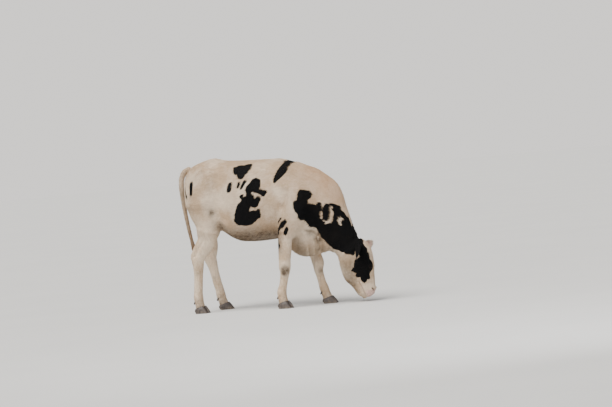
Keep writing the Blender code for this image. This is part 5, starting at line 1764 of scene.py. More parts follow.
@dataclass
class Coat:
    """Tufts over the skin, each a thin blade that lies along the coat."""

    anatomy: Anatomy
    skin: Piece
    maker: Maker
    materials: CoatMaterials
    limit: int = 19000                    # tufts in a piece, of ten triangles each
    patch: float = 0.003                  # size of a tuft's place on the unwrap
    ear_spacing: float = 0.0042
    ear_width: float = 0.0016
    edge_tufts: int = 130                 # along each row of an ear's edge, of which there are three
    deep_tufts: int = 230                 # in an ear's hollow
    most_bare: float = 0.35               # no tufts grow where the skin is barer
    cuts: Dict[Zone, Cut] = field(default_factory=lambda: {
        Zone.HEAD: Cut(0.004, 0.0095, 0.0012, 0.0008),
        Zone.NECK: Cut(0.0076, 0.02, 0.0022, 0.0016),
        Zone.TRUNK_RIGHT: Cut(0.0076, 0.02, 0.0021, 0.0014),
        Zone.TRUNK_LEFT: Cut(0.0076, 0.02, 0.0021, 0.0014),
        Zone.SHOULDERS: Cut(0.0068, 0.018, 0.002, 0.0014),
        Zone.HAUNCHES: Cut(0.0072, 0.019, 0.002, 0.0014),
        Zone.LEGS: Cut(0.0054, 0.012, 0.0014, 0.0008),
    })

    def __post_init__(self) -> None:
        """Read the skin once, back in the body frame."""
        mesh = self.skin.data
        self.tail = Tail().loft()
        self.points, self.normals = points_of(mesh) - self.anatomy.shift, normals_of(mesh)
        self.triangles = triangles_of(mesh)
        self.bare = np.empty(len(self.points), np.float32)
        mesh.attributes["bare"].data.foreach_get("value", self.bare)
        self.rng = np.random.default_rng(7)
        a, b, c = np.moveaxis(self.points[self.triangles], 1, 0)
        self.areas = 0.5 * np.linalg.norm(np.cross(b - a, c - a), axis=1)

    def nearest_loft(self, points: Array) -> Tuple[Array, Array]:
        """For each point, its place on the unwrap and the number of the loft it lies on.

        The unwrap opens each loft along its back into a rectangle, round it one way and along it the other.
        """
        best, uv = np.full(len(points), np.inf), np.zeros((len(points), 2))
        which = np.zeros(len(points), int)
        for n, loft in enumerate(self.anatomy.lofts + [self.tail]):
            d, where = loft.measure(points)
            closer = np.abs(d) < best
            u0, v0, u1, v1 = self.rectangle(n)
            flat = loft.unrolled(points, where) * [u1 - u0, v1 - v0] + [u0, v0]
            best, which = np.where(closer, np.abs(d), best), np.where(closer, n, which)
            uv = np.where(closer[:, None], flat, uv)
        return uv, which

    @staticmethod
    def rectangle(n: int) -> Tuple[float, float, float, float]:
        """The rectangle of the unwrap that belongs to a loft: large ones for trunk, neck and head."""
        large = {Part.TRUNK: (0.01, 0.01, 0.49, 0.49), Part.NECK: (0.51, 0.01, 0.99, 0.31),
                 Part.BRISKET: (0.01, 0.51, 0.29, 0.63), Part.HEAD: (0.51, 0.33, 0.99, 0.63)}
        if n in large:
            return large[n]
        row, column = divmod(n - Part.SHOULDERS, 7)
        return (0.01 + column * 0.14, 0.65 + row * 0.115, 0.14 + column * 0.14, 0.755 + row * 0.115)

    def zones(self, points: Array, loft: Array) -> Dict[Zone, Array]:
        """Which points belong to which piece of the coat, by the loft they lie on."""
        trunk, right = loft == Part.TRUNK, points[:, 1] < 0
        limb = (loft >= Part.SHOULDERS) & (loft < Part.TAIL)
        low = limb & ((points[:, 2] < 0.62) | (loft >= Part.LEGS))
        return {
            Zone.HEAD: loft == Part.HEAD,
            Zone.NECK: (loft == Part.NECK) | (loft == Part.BRISKET),
            Zone.TRUNK_RIGHT: trunk & right,
            Zone.TRUNK_LEFT: trunk & ~right,
            Zone.SHOULDERS: limb & (loft < Part.HAUNCHES) & ~low,
            Zone.HAUNCHES: limb & (loft >= Part.HAUNCHES) & ~low | (loft == Part.TAIL),
            Zone.LEGS: low,
        }

    def guides(self) -> Tuple[Array, Array]:
        """The coat's lie: places on the body and the way the hair points there, on both sides."""
        head = [  # below the poll, out of the forehead, to the left, and the way: down, out, aside
            (0.15, 0.095, 0.01, -1.0, 0.0, 0.1), (0.06, 0.06, 0.03, -1.0, 0.1, 0.3),
            (0.24, 0.105, 0.02, 1.0, 0.0, 0.2), (0.33, 0.095, 0.02, 1.0, 0.0, 0.15),
            (0.42, 0.085, 0.03, 1.0, 0.0, 0.3), (0.2, 0.03, 0.1, 0.3, -0.9, 0.0),
            (0.25, -0.05, 0.095, 0.5, -0.9, 0.0), (0.34, 0.0, 0.075, 0.8, -0.6, 0.0),
            (0.4, -0.04, 0.06, 0.8, -0.5, 0.0), (0.25, -0.18, 0.04, 0.3, -0.8, -0.4),
            (0.1, -0.08, 0.09, -0.4, -0.9, 0.0), (0.12, -0.2, 0.05, -0.3, -0.9, 0.0),
        ]
        body = [  # x, y, z, and the way
            (0.3, 0.03, 1.42, -1.0, 0.1, 0.0), (0.7, 0.03, 1.38, -1.0, 0.15, 0.0),
            (1.0, 0.03, 1.36, -1.0, 0.15, 0.1), (0.1, 0.1, 1.35, -0.8, 0.4, -0.4),
            (0.3, 0.22, 1.25, -0.7, 0.0, -0.7), (0.6, 0.28, 1.15, -0.8, 0.0, -0.6),
            (0.85, 0.26, 1.15, -0.7, 0.0, -0.7), (0.6, 0.3, 0.9, -0.8, 0.0, -0.6),
            (0.85, 0.27, 0.85, -0.7, 0.0, -0.7), (0.7, 0.15, 0.64, -0.9, -0.3, -0.1),
            (0.45, 0.15, 0.7, -0.9, -0.3, 0.0), (0.45, 0.25, 0.9, -0.5, 0.0, 0.4),
            (0.2, 0.21, 1.05, -0.4, 0.0, -0.9), (0.2, 0.21, 0.85, -0.2, 0.0, -1.0),
            (0.0, 0.12, 1.1, 0.2, 0.3, -1.0), (0.05, 0.1, 0.85, 0.1, 0.2, -1.0),
            (1.08, 0.2, 1.15, -0.6, 0.0, -0.8), (1.15, 0.23, 0.95, -0.5, 0.0, -0.85),
            (1.05, 0.235, 0.75, -0.3, 0.0, -1.0), (1.25, 0.18, 1.1, -0.8, 0.0, -0.3),
            (1.35, 0.05, 1.18, -0.8, 0.1, 0.5), (1.5, 0.1, 1.0, -0.6, 0.1, 0.8),
            (1.45, 0.16, 0.85, -0.75, 0.0, 0.4), (1.4, 0.16, 0.7, -0.8, 0.0, -0.1),
            (1.54, 0.17, 0.7, -0.5, 0.0, 0.7), (1.45, 0.12, 0.52, -0.8, 0.0, -0.3),
            (1.25, 0.12, 0.6, -0.6, 0.0, -0.8), (1.2, 0.03, 0.47, -0.9, 0.0, -0.3),
            (1.0, 0.08, 0.56, -0.9, 0.0, -0.2), (0.15, 0.16, 0.5, -0.2, 0.0, -1.0),
            (0.1, 0.16, 0.2, 0.0, 0.0, -1.0), (1.05, 0.16, 0.45, -0.1, 0.0, -1.0),
            (0.95, 0.16, 0.2, 0.0, 0.0, -1.0), (1.2, 0.15, 0.3, 0.0, 0.0, -1.0),
            (0.6, 0.16, 0.3, 0.0, 0.0, -1.0), (-0.06, 0.0, 1.0, 0.1, 0.0, -1.0),
            (-0.08, 0.0, 1.25, -0.2, 0.0, -1.0), (0.28, 0.1, 0.72, -0.2, -0.2, -1.0),
        ]
        left, front = self.anatomy.head_left, self.anatomy.head_front
        places, ways = [], []
        for s in (-1, 1):
            for *place, down, out, aside in head:
                p = np.array(self.anatomy.on_head(*place))
                across = float(np.dot(p - self.anatomy.poll, left))
                places.append(p + (s - 1) * across * left)
                ways.append(np.array([0, 0, -down]) + front * out + left * aside * s)
            for row in body:
                places.append(np.array(row[:3]) * [1, s, 1])
                ways.append(np.array(row[3:]) * [1, s, 1])
        return np.array(places), unit(np.array(ways))

    def lie(self, points: Array, normals: Array) -> Array:
        """Direction of the hair: guides weighted by 1 / (d^2 + (3 cm)^2)^2, laid flat on the skin."""
        places, ways = self.guides()
        total = np.zeros_like(points)
        for place, way in zip(places, ways):
            weight = 1 / (np.sum((points - place) ** 2, axis=1) + 0.0009) ** 2
            total += weight[:, None] * way
        total = unit(total)
        return unit(total - np.sum(total * normals, axis=1, keepdims=True) * normals)

    def longer(self, points: Array) -> Array:
        """The hair's length in usual lengths: more on poll, crest, dewlap, belly, buttocks and feet."""
        rows = [(*self.anatomy.on_head(0.018, 0.01), 0.042, 2.6), (1.56, 0.09, 0.76, 0.05, 0.7),
                (1.2, 0.0, 0.47, 0.1, 0.5), (0.7, 0.0, 0.625, 0.1, 0.7),
                (0.54, 0.0, 0.64, 0.05, 0.8), (-0.03, 0.0, 1.16, 0.08, 0.4)]
        for _, fetlock, hoof, y, _ in self.anatomy.stance.values():
            rows += [(fetlock - 0.05, y, 0.125, 0.022, 0.8), (hoof, y, 0.062, 0.03, 0.5)]
        return 1 + glow(points, rows)

    def sample(self, chosen: Array, spacing: float) -> Tuple[Array, Array]:
        """Spread roots over triangles, about one to a cell of the spacing.

        Args:
            chosen: Numbers of the triangles.
            spacing: Distance between roots.

        Returns:
            Each root's triangle and its shares of the triangle's corners.
        """
        areas = self.areas[chosen]
        tries, cell_share = 3.2, 0.92         # random spots for each root, and a cell's size in spacings
        count = int(tries * areas.sum() / spacing ** 2)
        picked = np.searchsorted(np.cumsum(areas), self.rng.random(count) * areas.sum())
        face = chosen[picked.clip(0, len(chosen) - 1)]
        a, b = np.sqrt(self.rng.random(count)), self.rng.random(count)
        share = np.stack([1 - a, a * (1 - b), a * b], axis=1)
        spots = np.einsum("ij,ijk->ik", share, self.points[self.triangles[face]])
        cell = np.floor(spots / (cell_share * spacing)).astype(np.int64) + 4096
        _, keep = np.unique(cell @ np.array([1, 1 << 14, 1 << 28]), return_index=True)
        if len(keep) > self.limit:
            keep = self.rng.permutation(keep)[:self.limit]
        return face[keep], share[keep]

    def at_roots(self, face: Array, share: Array) -> Tuple[Array, Array]:
        """Places and normals of the skin at roots."""
        corner = self.triangles[face]
        return (np.einsum("ij,ijk->ik", share, self.points[corner]),
                unit(np.einsum("ij,ijk->ik", share, self.normals[corner])))

    def blades(self, name: str, root: Array, normal: Array, way: Array, length: Array, width: Array,
               rise: Array, uv: Array, sunk: float = 0.0006) -> Piece:
        """Closed blades of two three-cornered rings and a tip.

        A blade leaves its root under the skin, is broadest at two fifths of its length, and bends to one side
        on its way to the tip; it is a quarter as thick as wide.

        Args:
            name: The piece's name.
            root: Places on the skin in the body frame.
            normal: The skin's normals there.
            way: Directions of the hair.
            length: Lengths.
            width: Widths.
            rise: Heights of the tips over the skin.
            uv: Places on the unwrap.
            sunk: How deep the root lies under the skin.

        Returns:
            The piece.
        """
        n = len(root)
        across = unit(np.cross(normal, way))
        bend = (self.rng.random(n) - 0.5)[:, None] * 0.35 * length[:, None] * across
        half, thick = 0.5 * width[:, None] * across, 0.26 * width[:, None] * normal
        start = root - normal * sunk
        middle = root + way * (0.42 * length)[:, None] + normal * (0.62 * rise)[:, None] + 0.25 * bend
        tip = root + way * length[:, None] + normal * rise[:, None] + bend
        corners = np.stack([start - 0.6 * half, start + 0.6 * thick, start + 0.6 * half,
                            middle - half, middle + thick, middle + half, tip], axis=1)
        triangles = np.array([[0, 1, 2], [0, 3, 4], [0, 4, 1], [1, 4, 5], [1, 5, 2], [2, 5, 3], [2, 3, 0],
                              [3, 6, 4], [4, 6, 5], [5, 6, 3]])
        faces = (np.arange(n)[:, None, None] * 7 + triangles).reshape(-1, 3)
        points = corners.reshape(-1, 3)
        obj = Maker.raw(name, points + self.anatomy.shift, [faces])
        spot = [[0.2, 0.0], [0.5, 0.1], [0.8, 0.0], [0.0, 0.45], [0.5, 0.55], [1.0, 0.45], [0.5, 1.0]]
        self.dress(obj, np.repeat(root, 7, axis=0), np.repeat(uv, 7, axis=0), np.tile(spot, (n, 1)),
                   np.repeat(self.rng.random(n), 7), np.tile([0, 0, 0, 0.45, 0.45, 0.45, 1.0], n))
        return obj

    def dress(self, obj: Piece, root: Array, uv: Array, spot: Array, luck: Array,
              toward_tip: Array) -> None:
        """Store a tuft piece's numbers and its map, where each tuft is a small square at its root's place.

        Args:
            obj: The piece.
            root: For each point, its tuft's root.
            uv: The root's place on the unwrap.
            spot: The point's place in the tuft's square, from 0 to 1 each way.
            luck: A number of the tuft's own.
            toward_tip: 0 at the root to 1 at the tip.
        """
        mesh = obj.data
        number(mesh, "root", root + self.anatomy.shift)
        number(mesh, "luck", luck)
        number(mesh, "toward_tip", toward_tip)
        Markings(self.anatomy).write(mesh, root)
        corner = np.empty(len(mesh.loops), np.int32)
        mesh.loops.foreach_get("vertex_index", corner)
        flat = np.clip(uv + self.patch * (spot - 0.5), 0.0005, 0.9995)[corner]
        mesh.uv_layers.new(name="OFBake").data.foreach_set("uv", flat.astype(np.float32).ravel())

    def ear_hair(self, ears: Sequence[Ear], chosen: Array) -> Piece:
        """Short tufts over the backs of the ears, a fringe round their edges, and long hair in their hollows.

        Args:
            ears: Both ears.
            chosen: Triangles of the ears' backs.

        Returns:
            The piece.
        """
        root, normal = self.at_roots(*self.sample(chosen, self.ear_spacing))
        rim, deep = 3 * self.edge_tufts, self.deep_tufts
        k = np.arange(rim)
        roots, normals, ways, lengths, spots, loose = [], [], [], [], [], []
        for n, ear in enumerate(ears):
            near = np.linalg.norm(root - ear.start, axis=1) < 0.21
            ray = root[near] - ear.start
            t = np.clip(ray @ ear.along / ear.length, 0, 1)
            v = np.clip(ray @ ear.across / np.maximum(ear.half_width(t), 0.006), -1, 1)
            way = ear.along + 0.35 * v[:, None] * ear.across + 0.3 * (self.rng.random((near.sum(), 3)) - 0.5)
            edge_t = np.tile(np.linspace(0.06, 0.995, self.edge_tufts), 3)
            edge_v = np.repeat([-1.0, 1.0, 0.9], self.edge_tufts)
            edge_v = edge_v * np.where(k < 2 * self.edge_tufts, 1, np.sign(np.sin(7 * k)))
            edge, edge_out = ear.at(edge_t, edge_v)
            edge_way = (ear.along * (0.45 + 0.8 * edge_t ** 4)[:, None]
                        + ear.across * (0.85 * np.sign(edge_v))[:, None]
                        + 0.35 * ear.opening + 0.35 * (self.rng.random((rim, 3)) - 0.5))
            deep_t, deep_v = 0.06 + 0.62 * self.rng.random(deep), 1.7 * (self.rng.random(deep) - 0.5)
            inside, deep_out = ear.at(deep_t, deep_v)
            deep_way = (ear.along * 0.75 + ear.opening * 0.45 - ear.across * (0.35 * deep_v)[:, None]
                        + 0.3 * (self.rng.random((deep, 3)) - 0.5))
            roots += [root[near], edge, inside + deep_out * 0.5 * ear.thickness]
            normals += [normal[near], edge_out, deep_out]
            ways += [way, edge_way, deep_way]
            lengths += [np.full(near.sum(), 0.0105), 0.015 + 0.007 * self.rng.random(rim),
                        0.016 + 0.014 * self.rng.random(deep)]
            loose += [np.zeros(near.sum()), np.ones(rim + deep)]
            u0, v0, u1, v1 = self.rectangle(Part.EARS + n)
            for share_t, share_v, half in ((t, v, 0.0), (edge_t, edge_v, 0.0), (deep_t, deep_v, 0.5)):
                across = u0 + (u1 - u0) * (0.25 * (share_v + 1) + half)
                spots.append(np.stack([across, v0 + (v1 - v0) * share_t], axis=1))
        normal, way, length = np.concatenate(normals), unit(np.concatenate(ways)), np.concatenate(lengths)
        flat = unit(way - np.sum(way * normal, axis=1, keepdims=True) * normal)
        free = np.concatenate(loose)[:, None]
        way = unit(flat * (1 - free) + way * free)
        length = length * (0.8 + 0.4 * self.rng.random(len(length)))
        return self.blades("coat_ears", np.concatenate(roots), normal, way, length,
                           np.full(len(length), self.ear_width), 0.1 * length, np.concatenate(spots))

    def build(self) -> None:
        """All the zones' pieces."""
        middle = self.points[self.triangles].mean(axis=1)
        _, loft = self.nearest_loft(middle)
        hairy = (self.bare[self.triangles].mean(axis=1) < self.most_bare) & (self.areas > 0)
        ears = [Ear(self.anatomy, side) for side in Side]
        on_ear = np.zeros(len(middle), bool)
        for ear in ears:
            ray = middle - ear.start
            on_ear |= (ray @ ear.along > 0.028) & (np.linalg.norm(ray, axis=1) < 0.2)
        material = self.materials.tuft()
        for zone, wanted in self.zones(middle, loft).items():
            cut = self.cuts[zone]
            chosen = np.flatnonzero(wanted & hairy & ~on_ear)
            root, normal = self.at_roots(*self.sample(chosen, cut.spacing))
            way = self.lie(root, normal)
            turn = (self.rng.random(len(root)) - 0.5)[:, None] * 0.5
            way = unit(way + turn * np.cross(normal, way))
            more = self.longer(root) * (0.8 + 0.4 * self.rng.random(len(root)))
            uv, _ = self.nearest_loft(root)
            rise = cut.rise * more * (0.6 + 0.8 * self.rng.random(len(root)))
            obj = self.blades(f"coat_{zone.value}", root, normal, way, cut.length * more,
                              cut.width * np.sqrt(more), rise, uv)
            forward = zone in (Zone.HEAD, Zone.NECK)
            self.maker.finish(obj, material, "coat_head_and_neck" if forward else "coat_body")
        backs = np.flatnonzero(on_ear & hairy)
        self.maker.finish(self.ear_hair(ears, backs), material, "coat_head_and_neck")


# ---- horn, eyes and switch
@dataclass
class Hooves:
    """Two claws and two dewclaws on each foot."""

    anatomy: Anatomy
    cleft: float = 0.012
    claw_width: float = 0.05
    toe: Tuple[float, float] = (0.046, 0.096)        # reach forwards at the hairline and at the sole
    heel: Tuple[float, float] = (0.0375, 0.03)      # and backwards
    dewclaw_length: float = 0.028
    dewclaw_radius: Tuple[float, float] = (0.013, 0.0088)

    def claw(self, foot: Foot, side: Side) -> Piece:
        """A claw, from its hairline, t = 0, down to its sole, t = 1.

        Each ring is an oval with square shoulders, long towards the toe, where it narrows and bends inwards;
        growth rings of 0.3 mm ripple the wall, a bulb rounds the heel, and the sole is hollowed by 2 mm.

        Args:
            foot: Which foot.
            side: Which of the foot's two claws.

        Returns:
            The claw, with how far down the wall each point is.
        """
        place, normal, forward = self.anatomy.coronet(foot)
        aside = np.cross([0, 0, 1.0], forward) * side.value
        t = np.concatenate([np.zeros(4), np.linspace(0, 1, 34), np.ones(7)])[:, None]
        upper, sole = [0.25, 0.5, 0.75, 0.93], [0.985, 0.95, 0.9, 0.8, 0.6, 0.4, 0.2, 0.1]
        share = np.concatenate([upper, np.ones(33), sole])[:, None]
        angle = np.linspace(0, 2 * math.pi, 48, endpoint=False)[None]
        c, s = np.cos(angle), np.sin(angle)
        toe = self.toe[0] + (self.toe[1] - self.toe[0]) * t
        heel = self.heel[0] + (self.heel[1] - self.heel[0]) * t
        heel = heel + 0.0075 * np.sin(math.pi * np.clip(0.12 + t, 0, 1)) ** 1.4
        half = self.claw_width * (0.455 + 0.055 * ramp(t, 0.0, 0.45) + 0.015 * np.sin(math.pi * t))
        nose = np.maximum(c, 0) ** 2
        ripple = 1 + 0.0035 * np.sin(46 * t + 1.3 * c) * ramp(t, 0.05, 0.15)
        ahead = c * np.where(c > 0, toe, heel) * ripple
        middle = 0.5 * (self.cleft + self.claw_width) - 0.0025 * (1 - ramp(t, 0.0, 0.5))
        off = np.abs(s) ** 0.8 * np.sign(s) * half * (1 - 0.34 * nose * (0.6 + 0.4 * t)) * ripple
        off = off - 0.006 * nose
        spot = place + (ahead * share)[..., None] * forward + (middle + off * share)[..., None] * aside
        top = place[2] - ((spot - place) @ (normal * [1, 1, 0])) / normal[2] - 0.0003
        spot[..., 2] = top * (1 - t) + 0.0035 * ramp(0.95 - share, 0.0, 0.4) * (t >= 1)
        return self.horn("claw", foot, side, spot, t)

    def dewclaw(self, foot: Foot, hand: Side) -> Piece:
        """A dewclaw behind the fetlock: a blunt cone that hooks down, closing as the root of 1 - t^8."""
        _, fetlock, hoof, y, _ = self.anatomy.stance[foot]
        _, _, forward = self.anatomy.coronet(foot)
        aside = np.cross([0, 0, 1.0], forward) * hand.value
        root = np.array([0.5 * (fetlock + hoof), y, 0.11]) - forward * 0.03 + aside * 0.02
        rise = np.array([0, 0, 1.0])
        axis = unit(-forward - rise + 0.2 * aside)
        side = unit(np.cross(axis, rise))
        up = np.cross(side, axis)
        t = 1 - (1 - np.linspace(0, 1, 26)[:, None]) ** 1.5
        angle = np.linspace(0, 2 * math.pi, 28, endpoint=False)[None]
        radius = self.dewclaw_radius[0] * (1 - t) + self.dewclaw_radius[1] * t
        radius = radius * np.sqrt(np.maximum(1 - t ** 8, 1e-3)) * (1 + 0.02 * np.sin(30 * t))
        spot = (root + (self.dewclaw_length * t)[..., None] * axis - (0.003 * t ** 2)[..., None] * rise
                + (radius * np.cos(angle))[..., None] * side
                + (0.85 * radius * np.sin(angle))[..., None] * up)
        return self.horn("dewclaw", foot, hand, spot, t)

    def horn(self, kind: str, foot: Foot, side: Side, spot: Array, t: Array) -> Piece:
        """A closed piece from its rings, with how far down each point is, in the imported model's frame."""
        obj = Maker.raw(f"horn_{kind}_{foot.value}_{side.name.lower()}", *closed_tube(spot))
        down = np.broadcast_to(t, spot.shape[:2]).ravel()
        spare = np.ones(len(obj.data.vertices) - down.size)
        number(obj.data, "down_wall", np.concatenate([down, spare]))
        self.anatomy.place(obj)
        return obj

    def build(self, maker: Maker, material: Material) -> None:
        """All sixteen, each in place of its plain node."""
        for foot in Foot:
            for side in (Side.LEFT, Side.RIGHT):
                for made in (self.claw(foot, side), self.dewclaw(foot, side)):
                    maker.finish(made, material, "horn", [made.name.replace("horn_", "")])


@dataclass
class Eyes:
    """Eyeballs with their lashes."""

    anatomy: Anatomy
    cornea: float = 0.0012
    iris: float = 0.0178
    pupil: Tuple[float, float] = (0.0092, 0.005)
    lashes_above: int = 46
    lashes_below: int = 16

    def ball(self, side: Side) -> Piece:
        """An eyeball: radius R + cornea x exp(-(angle / 0.45)^2) from its front, with iris and oval pupil."""
        lids = EyeLids(self.anatomy, side)
        angle = np.linspace(0.01, math.pi - 0.02, 64)[:, None]
        turn = np.linspace(0, 2 * math.pi, 56, endpoint=False)[None]
        radius = self.anatomy.eye_radius + self.cornea * np.exp(-(angle / 0.45) ** 2)
        u, v = angle * self.anatomy.eye_radius * np.cos(turn), angle * self.anatomy.eye_radius * np.sin(turn)
        way = (np.cos(angle)[..., None] * lids.out + (np.sin(angle) * np.cos(turn))[..., None] * lids.slit
               + (np.sin(angle) * np.sin(turn))[..., None] * lids.brow)
        spot = lids.centre + radius[..., None] * way
        obj = Maker.raw(f"eyeball_{side.name.lower()}", *closed_tube(spot))
        spare = len(obj.data.vertices) - u.size
        for name, values, ends in (("iris", np.hypot(u, v) / self.iris, [0.0, 5.0]),
                                   ("pupil", np.hypot(u / self.pupil[0], v / self.pupil[1]), [0.0, 9.0])):
            number(obj.data, name, np.concatenate([values.ravel(), ends[:spare]]))
        self.anatomy.place(obj)
        return obj

    def lashes(self, side: Side, coat: "Coat") -> Piece:
        """Lashes along the upper lid's edge and a few on the lower, fanned and bent."""
        lids, rng = EyeLids(self.anatomy, side), coat.rng
        u = np.concatenate([np.linspace(-0.86, 0.8, self.lashes_above),
                            np.linspace(-0.6, 0.6, self.lashes_below)])
        upper = np.arange(len(u)) < self.lashes_above
        v = (1 - u ** 2) * np.where(upper, lids.half_height, -0.9 * lids.half_height)
        u = u * lids.half_length
        r = self.anatomy.eye_radius + 0.6 * lids.rim
        out = np.sqrt(np.maximum(r ** 2 - u ** 2 - v ** 2, 0))
        ray = u[:, None] * lids.slit + v[:, None] * lids.brow + out[:, None] * lids.out
        lift = np.where(upper, 0.55, -0.45)[:, None]
        fan = 0.9 * u / lids.half_length + 0.3 * (rng.random(len(u)) - 0.5)
        way = unit(lids.out + lift * lids.brow + fan[:, None] * lids.slit)
        length = np.where(upper, 0.0125, 0.006) * (0.75 + 0.4 * rng.random(len(u)))
        root = lids.centre + ray
        uv, _ = coat.nearest_loft(root)
        return coat.blades(f"lashes_{side.name.lower()}", root, np.tile(lids.brow, (len(u), 1)), way, length,
                           np.full(len(u), 0.0006), -0.1 * length, uv)

    def build(self, maker: Maker, eye: Material, lash: Material, coat: "Coat") -> None:
        """Both eyes, in place of the plain balls, and their lashes."""
        for side in Side:
            maker.finish(self.ball(side), eye, "eye", [f"eye_{side.name.lower()}"])
            maker.finish(self.lashes(side, coat), lash, "coat_head_and_neck")


@dataclass
class Switch:
    """Locks of long hair round the tail's end."""

    core: Tuple[Row, ...] = (             # x, y, z, radius at the roots, radius of the hanging locks
        (-0.037, 0.0, 0.715, 0.015, 0.017),
        (-0.022, 0.002, 0.62, 0.0105, 0.0235),
        (-0.006, 0.004, 0.54, 0.005, 0.025),
        (0.006, 0.006, 0.47, 0.003, 0.017),
        (0.012, 0.007, 0.424, 0.002, 0.003),
    )
    locks: int = 300
    stations: int = 9

    def build(self, coat: "Coat") -> Piece:
        """The switch: each lock follows the core from its root, swings outwards and back, and waves a little.

        A lock's section is a flat rhomb, its width w(s) = w0 (sin(pi (0.12 + 0.88 s)))^0.7 along its share s.

        Args:
            coat: Gives the random draws and dresses the locks with their map.

        Returns:
            The switch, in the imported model's frame.
        """
        rng, rows = coat.rng, smooth_rows(self.core, 0.004)
        n = self.locks
        first = 0.66 * rng.random(n) ** 1.2
        last = np.clip(first + 0.4 + 0.3 * rng.random(n), 0, 0.99)
        s = np.linspace(0, 1, self.stations)[None]
        place = (first[:, None] * (1 - s) + last[:, None] * s) * (len(rows) - 1)
        low = np.clip(place.astype(int), 0, len(rows) - 2)
        part = (place - low)[..., None]
        row = rows[low] * (1 - part) + rows[low + 1] * part
        deep = (0.45 + 0.55 * rng.random(n))[:, None]
        angle = (2 * math.pi * rng.random(n))[:, None] + 0.5 * (rng.random(n)[:, None] - 0.5) * s
        wave = 0.0016 * np.sin(9 * s + 6.3 * rng.random(n)[:, None]) * s
        radius = row[..., 3] * (1 - s ** 0.6) + row[..., 4] * s ** 0.6 * deep - 0.001 + wave
        outward = np.stack([np.cos(angle), np.sin(angle), 0 * angle], axis=-1)
        middle = row[..., :3] + radius[..., None] * outward
        width = (0.0022 + 0.0016 * rng.random(n))[:, None] * np.sin(math.pi * (0.12 + 0.88 * s)) ** 0.7
        width = np.maximum(width, 0.0002)[..., None]
        along = unit(np.gradient(middle, axis=1))
        across = unit(np.cross(along, outward))
        thick = np.cross(across, along)
        ring = np.stack([middle + width * across, middle + 0.45 * width * thick, middle - width * across,
                         middle - 0.45 * width * thick], axis=2)
        each = self.stations * 4
        base = np.array([[k * 4 + j, k * 4 + (j + 1) % 4, k * 4 + 4 + (j + 1) % 4, k * 4 + 4 + j]
                         for k in range(self.stations - 1) for j in range(4)] + [[3, 2, 1, 0]]
                        + [[each - 4, each - 3, each - 2, each - 1]])
        faces = (np.arange(n)[:, None, None] * each + base).reshape(-1, 4)
        obj = Maker.raw("tail_switch_hair", ring.reshape(-1, 3) + coat.anatomy.shift, [faces])
        turn = (angle[:, :1] / (2 * math.pi)) % 1.0
        u0, v0, u1, v1 = coat.rectangle(Part.SWITCH)
        root = np.repeat(middle[:, 0], each, axis=0)
        uv = np.concatenate([u0 + (u1 - u0) * turn, v0 + (v1 - v0) * first[:, None]], axis=1)
        spot = np.stack([np.tile([0.0, 0.4, 0.8, 0.4], self.stations),
                         np.repeat(np.linspace(0, 1, self.stations), 4)], axis=1)
        coat.dress(obj, root, np.repeat(uv, each, axis=0), np.tile(spot, (n, 1)),
                   np.repeat(rng.random(n), each), np.tile(np.repeat(s[0], 4), n))
        return obj


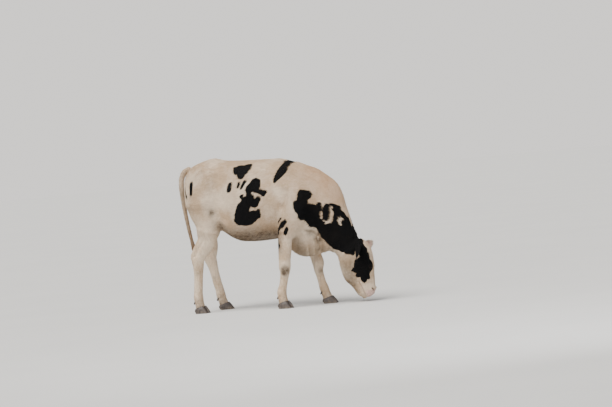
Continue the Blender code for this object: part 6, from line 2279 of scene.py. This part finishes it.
# ---- room and camera
@dataclass
class Studio:
    """A pale floor, soft lamps and the camera to the cow's right and a little ahead of it."""

    anatomy: Anatomy
    azimuth: float = math.radians(25)
    elevation: float = math.radians(1.5)
    roll: float = math.radians(5.3)
    distance: float = 22.0
    lens: float = 142.0
    aim: Point = (1.175, 0.0, 0.932)      # in the body frame
    backdrop: Point = (1.28, 1.24, 1.19)

    def floor(self) -> None:
        """A broad pale disc."""
        sides, radius = 96, 90.0
        angle = np.linspace(0, 2 * math.pi, sides, endpoint=False)
        ring = np.stack([np.cos(angle), np.sin(angle), 0 * angle], axis=-1) * radius
        points = np.concatenate([[[0, 0, 0]], ring])
        k = np.arange(sides)
        faces = np.stack([0 * k, k + 1, (k + 1) % sides + 1], axis=-1)
        mesh = bpy.data.meshes.new("floor")
        mesh.from_pydata(points.tolist(), [], faces.tolist())
        obj = bpy.data.objects.new("floor", mesh)
        bpy.context.scene.collection.objects.link(obj)
        made, g, shader = new_material("pale_floor", 0.9)
        place = g.node("TexCoord").outputs["Object"]
        colour = g.mix(g.noise(place, 0.8, 3), (0.6, 0.6, 0.59), (0.66, 0.66, 0.65))
        g.feed(shader.inputs["Base Color"], colour)
        mesh.materials.append(made)

    def lamp(self, name: str, place: Point, target: Point, size: float, power: float, colour: Point,
             kind: str = "AREA") -> None:
        """A soft lamp that looks at a place: a square one, or a sun with an angle for its size."""
        data = bpy.data.lights.new(name, kind)
        data.energy, data.color = power, colour
        if kind == "SUN":
            data.angle = size
        else:
            data.shape, data.size = "SQUARE", size
        obj = bpy.data.objects.new(name, data)
        obj.location = place
        obj.rotation_euler = (Vector(target) - Vector(place)).to_track_quat("-Z", "Y").to_euler()
        bpy.context.scene.collection.objects.link(obj)

    def light(self) -> None:
        """A pale world, a wide soft sun from above and behind the rump, and a weak lamp in front."""
        world = bpy.data.worlds.new("pale_room")
        bpy.context.scene.world = world
        world.use_nodes = True
        back = world.node_tree.nodes["Background"]
        g = Graph(world.node_tree)
        seen = g.node("LightPath").outputs["Is Camera Ray"]
        g.feed(back.inputs["Color"], g.mix(seen, (0.49, 0.49, 0.495), self.backdrop))
        fix(back, Strength=0.92)
        warm, cool = (1.0, 0.965, 0.915), (0.97, 0.98, 1.0)
        self.lamp("key", (-1.9, -2.9, 7.0), (0.0, 0.0, 0.9), math.radians(50), 5.2, warm, "SUN")
        self.lamp("fill", (4.5, -4.5, 3.2), (0.2, 0.0, 0.7), 4.0, 120.0, cool)

    def camera(self) -> None:
        """Place the camera: right and up are turned about the line of sight by the roll."""
        aim = Vector(self.aim) + Vector(self.anatomy.shift)
        ca, sa = math.cos(self.azimuth), math.sin(self.azimuth)
        ce, se = math.cos(self.elevation), math.sin(self.elevation)
        back = Vector((sa * ce, -ca * ce, se))
        level = Vector((ca, sa, 0.0))
        upright = back.cross(level)
        right = level * math.cos(self.roll) - upright * math.sin(self.roll)
        up = level * math.sin(self.roll) + upright * math.cos(self.roll)
        data = bpy.data.cameras.new("camera")
        data.lens, data.sensor_width, data.clip_end = self.lens, 36.0, 400.0
        obj = bpy.data.objects.new("camera", data)
        matrix = Matrix((right, up, back)).transposed().to_4x4()
        matrix.translation = aim + back * self.distance
        obj.matrix_world = matrix
        bpy.context.scene.collection.objects.link(obj)
        bpy.context.scene.camera = obj


def main() -> None:
    """Build the sub-assemblies in order and report them."""
    logging.basicConfig(level=logging.INFO, format="%(message)s")
    anatomy, maker = Anatomy(), Maker()
    studio = Studio(anatomy)
    studio.camera()
    studio.floor()
    studio.light()
    materials = CoatMaterials(CoatFinish())
    skin = Skin(anatomy).build()
    flesh = [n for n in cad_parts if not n.startswith(("eye", "claw", "dewclaw", "tail_switch"))]
    maker.finish(skin, materials.skin(), "coat_body", flesh)
    coat = Coat(anatomy, skin, maker, materials)
    coat.build()
    lash = materials.tuft("lash_hair", ((0.012, 0.01, 0.009), (0.05, 0.04, 0.034)))
    Eyes(anatomy).build(maker, EyeFinish().build(), lash, coat)
    switch = materials.tuft("switch_hair", ((0.34, 0.255, 0.18), (0.185, 0.098, 0.052)))
    maker.finish(Switch().build(coat), switch, "tail_hair", ["tail_switch"])
    Hooves(anatomy).build(maker, HornFinish().build())


if __name__ == "__main__":
    main()
